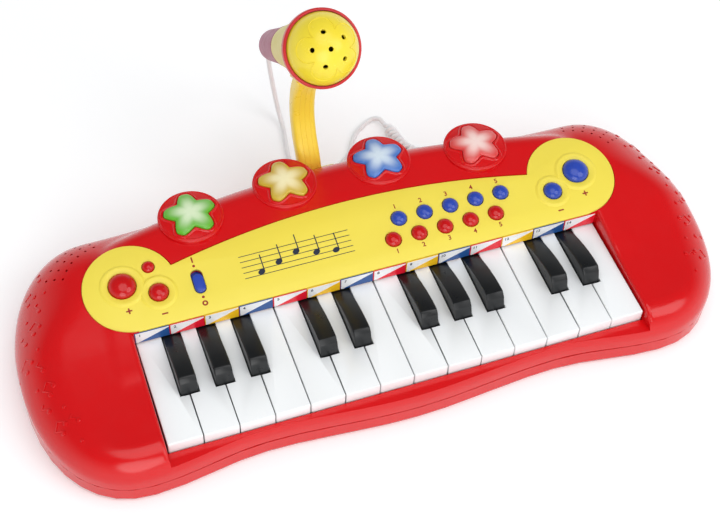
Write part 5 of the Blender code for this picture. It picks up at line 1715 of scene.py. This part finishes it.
# Soft round lamps: place, width and power
LAMPS = (
    ('key_lamp', (850.0, -850.0, 1100.0), 1000.0, 5.5),
    ('front_lamp', (-350.0, -1250.0, 600.0), 1000.0, 6.0),
    ('top_lamp', (0.0, -400.0, 1700.0), 1500.0, 8.0),
)
AMBIENT = '#c6c8ca'
FLOOR_WHITE = '#fafafa'
FLOOR_LIFT = 0.14
# Far off, where the lamps don't reach, the floor grows as white as the room
FAR_LIFT = 0.32
FAR_FADE = (700.0, 2200.0)
# What gloss mirrors: white walls up to a height, as a share of straight up, and a grey ceiling
WALL_WHITE = '#ffffff'
CEILING_GREY = '#5c5e60'
WALL_TOP = (0.1, 0.65)


def seen_rays(tree):
    """Light Path, and one for rays that see the backdrop straight or through clear plastic."""
    path = add_node(tree, 'ShaderNodeLightPath', {})
    return path, add_node(tree, 'ShaderNodeMath', {
        0: (path, 'Is Camera Ray'), 1: (path, 'Is Transmission Ray')}, operation='MAXIMUM')


def make_floor():
    """A pale paper floor that grows white far off."""
    mesh = bmesh.new()
    bmesh.ops.create_grid(mesh, x_segments=1, y_segments=1, size=FLOOR_SIZE / 2 * MM)
    bmesh.ops.translate(mesh, verts=mesh.verts, vec=(0, 0, -FLOOR_DROP * MM))
    data = bpy.data.meshes.new('floor')
    mesh.to_mesh(data)
    mesh.free()
    paper = bpy.data.materials.new('paper_white_studio_backdrop')
    paper.use_nodes = True
    tree = paper.node_tree
    shader = tree.nodes['Principled BSDF']
    shader.inputs['Base Color'].default_value = srgb(FLOOR_WHITE)
    shader.inputs['Roughness'].default_value = 1.0
    shader.inputs['Specular IOR Level'].default_value = 0.0
    shader.inputs['Emission Color'].default_value = srgb(FLOOR_WHITE)
    path, seen = seen_rays(tree)
    shown = add_node(tree, 'ShaderNodeMath', {
        0: (seen, 0), 1: (path, 'Is Glossy Ray')}, operation='MAXIMUM')
    near = add_node(tree, 'ShaderNodeMath', {0: (shown, 0), 1: FLOOR_LIFT}, operation='MULTIPLY')
    place = add_node(tree, 'ShaderNodeTexCoord', {})
    away = add_node(tree, 'ShaderNodeVectorMath', {0: (place, 'Object')}, operation='LENGTH')
    fade = add_node(tree, 'ShaderNodeMapRange', {
        'Value': (away, 'Value'), 'From Min': FAR_FADE[0] * MM, 'From Max': FAR_FADE[1] * MM,
        'To Min': 0.0, 'To Max': FAR_LIFT})
    far = add_node(tree, 'ShaderNodeMath', {0: (seen, 0), 1: (fade, 0)}, operation='MULTIPLY')
    lift = add_node(tree, 'ShaderNodeMath', {0: (near, 0), 1: (far, 0)}, operation='ADD')
    tree.links.new(lift.outputs[0], shader.inputs['Emission Strength'])
    data.materials.append(paper)
    floor = bpy.data.objects.new('floor', data)
    bpy.context.scene.collection.objects.link(floor)


def make_surround():
    """White all round, with a grey ceiling for gloss to mirror."""
    world = bpy.data.worlds.new('studio')
    world.use_nodes = True
    tree = world.node_tree
    path, seen = seen_rays(tree)
    place = add_node(tree, 'ShaderNodeTexCoord', {})
    height = add_node(tree, 'ShaderNodeSeparateXYZ', {0: (place, 'Generated')})
    climb = add_node(tree, 'ShaderNodeMapRange', {
        'Value': (height, 'Z'), 'From Min': WALL_TOP[0], 'From Max': WALL_TOP[1]})
    room = add_node(tree, 'ShaderNodeMix', {
        0: (climb, 0), 6: srgb(WALL_WHITE), 7: srgb(CEILING_GREY)}, data_type='RGBA')
    around = add_node(tree, 'ShaderNodeMix', {
        0: (path, 'Is Glossy Ray'), 6: srgb(AMBIENT), 7: (room, 2)}, data_type='RGBA')
    tone = add_node(tree, 'ShaderNodeMix', {
        0: (seen, 0), 6: (around, 2), 7: srgb(WALL_WHITE)}, data_type='RGBA')
    tree.links.new(tone.outputs[2], tree.nodes['Background'].inputs['Color'])
    bpy.context.scene.world = world
    bpy.context.scene.view_settings.view_transform = 'Standard'


def make_lamps():
    """Soft round lamps that face the object."""
    for name, place, size, power in LAMPS:
        lamp = bpy.data.lights.new(name, 'AREA')
        lamp.shape = 'DISK'
        lamp.size = size * MM
        lamp.energy = power
        item = bpy.data.objects.new(name, lamp)
        aim = (-Vector(place)).to_track_quat('-Z', 'Y')
        item.matrix_world = Matrix.Translation(Vector(place) * MM) @ aim.to_matrix().to_4x4()
        bpy.context.scene.collection.objects.link(item)


# Inner pieces keep their CAD shapes
INNER_FINISHES = {
    'key_pivot_rod': ROD_STEEL,
    'main_board': BOARD_GREEN,
    'key_contact_board': BOARD_GREEN,
    'speaker': SPEAKER_BLACK,
}


def finish_inner_pieces():
    """Gives the inner pieces their materials."""
    for name, finish in INNER_FINISHES.items():
        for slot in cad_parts[name].material_slots:
            slot.material = finish


make_camera()
make_cord()
make_floor()
make_surround()
make_lamps()
make_upper_case()
make_lobe_notes()
make_underside()
make_keys()
make_note_strip()
make_panel()
make_panel_print()
make_buttons()
make_switch()
make_star_seats()
make_star_pads()
make_mic_ring()
make_mic_grille()
make_mic_handle()
make_mic_tail()
make_arm()
finish_inner_pieces()
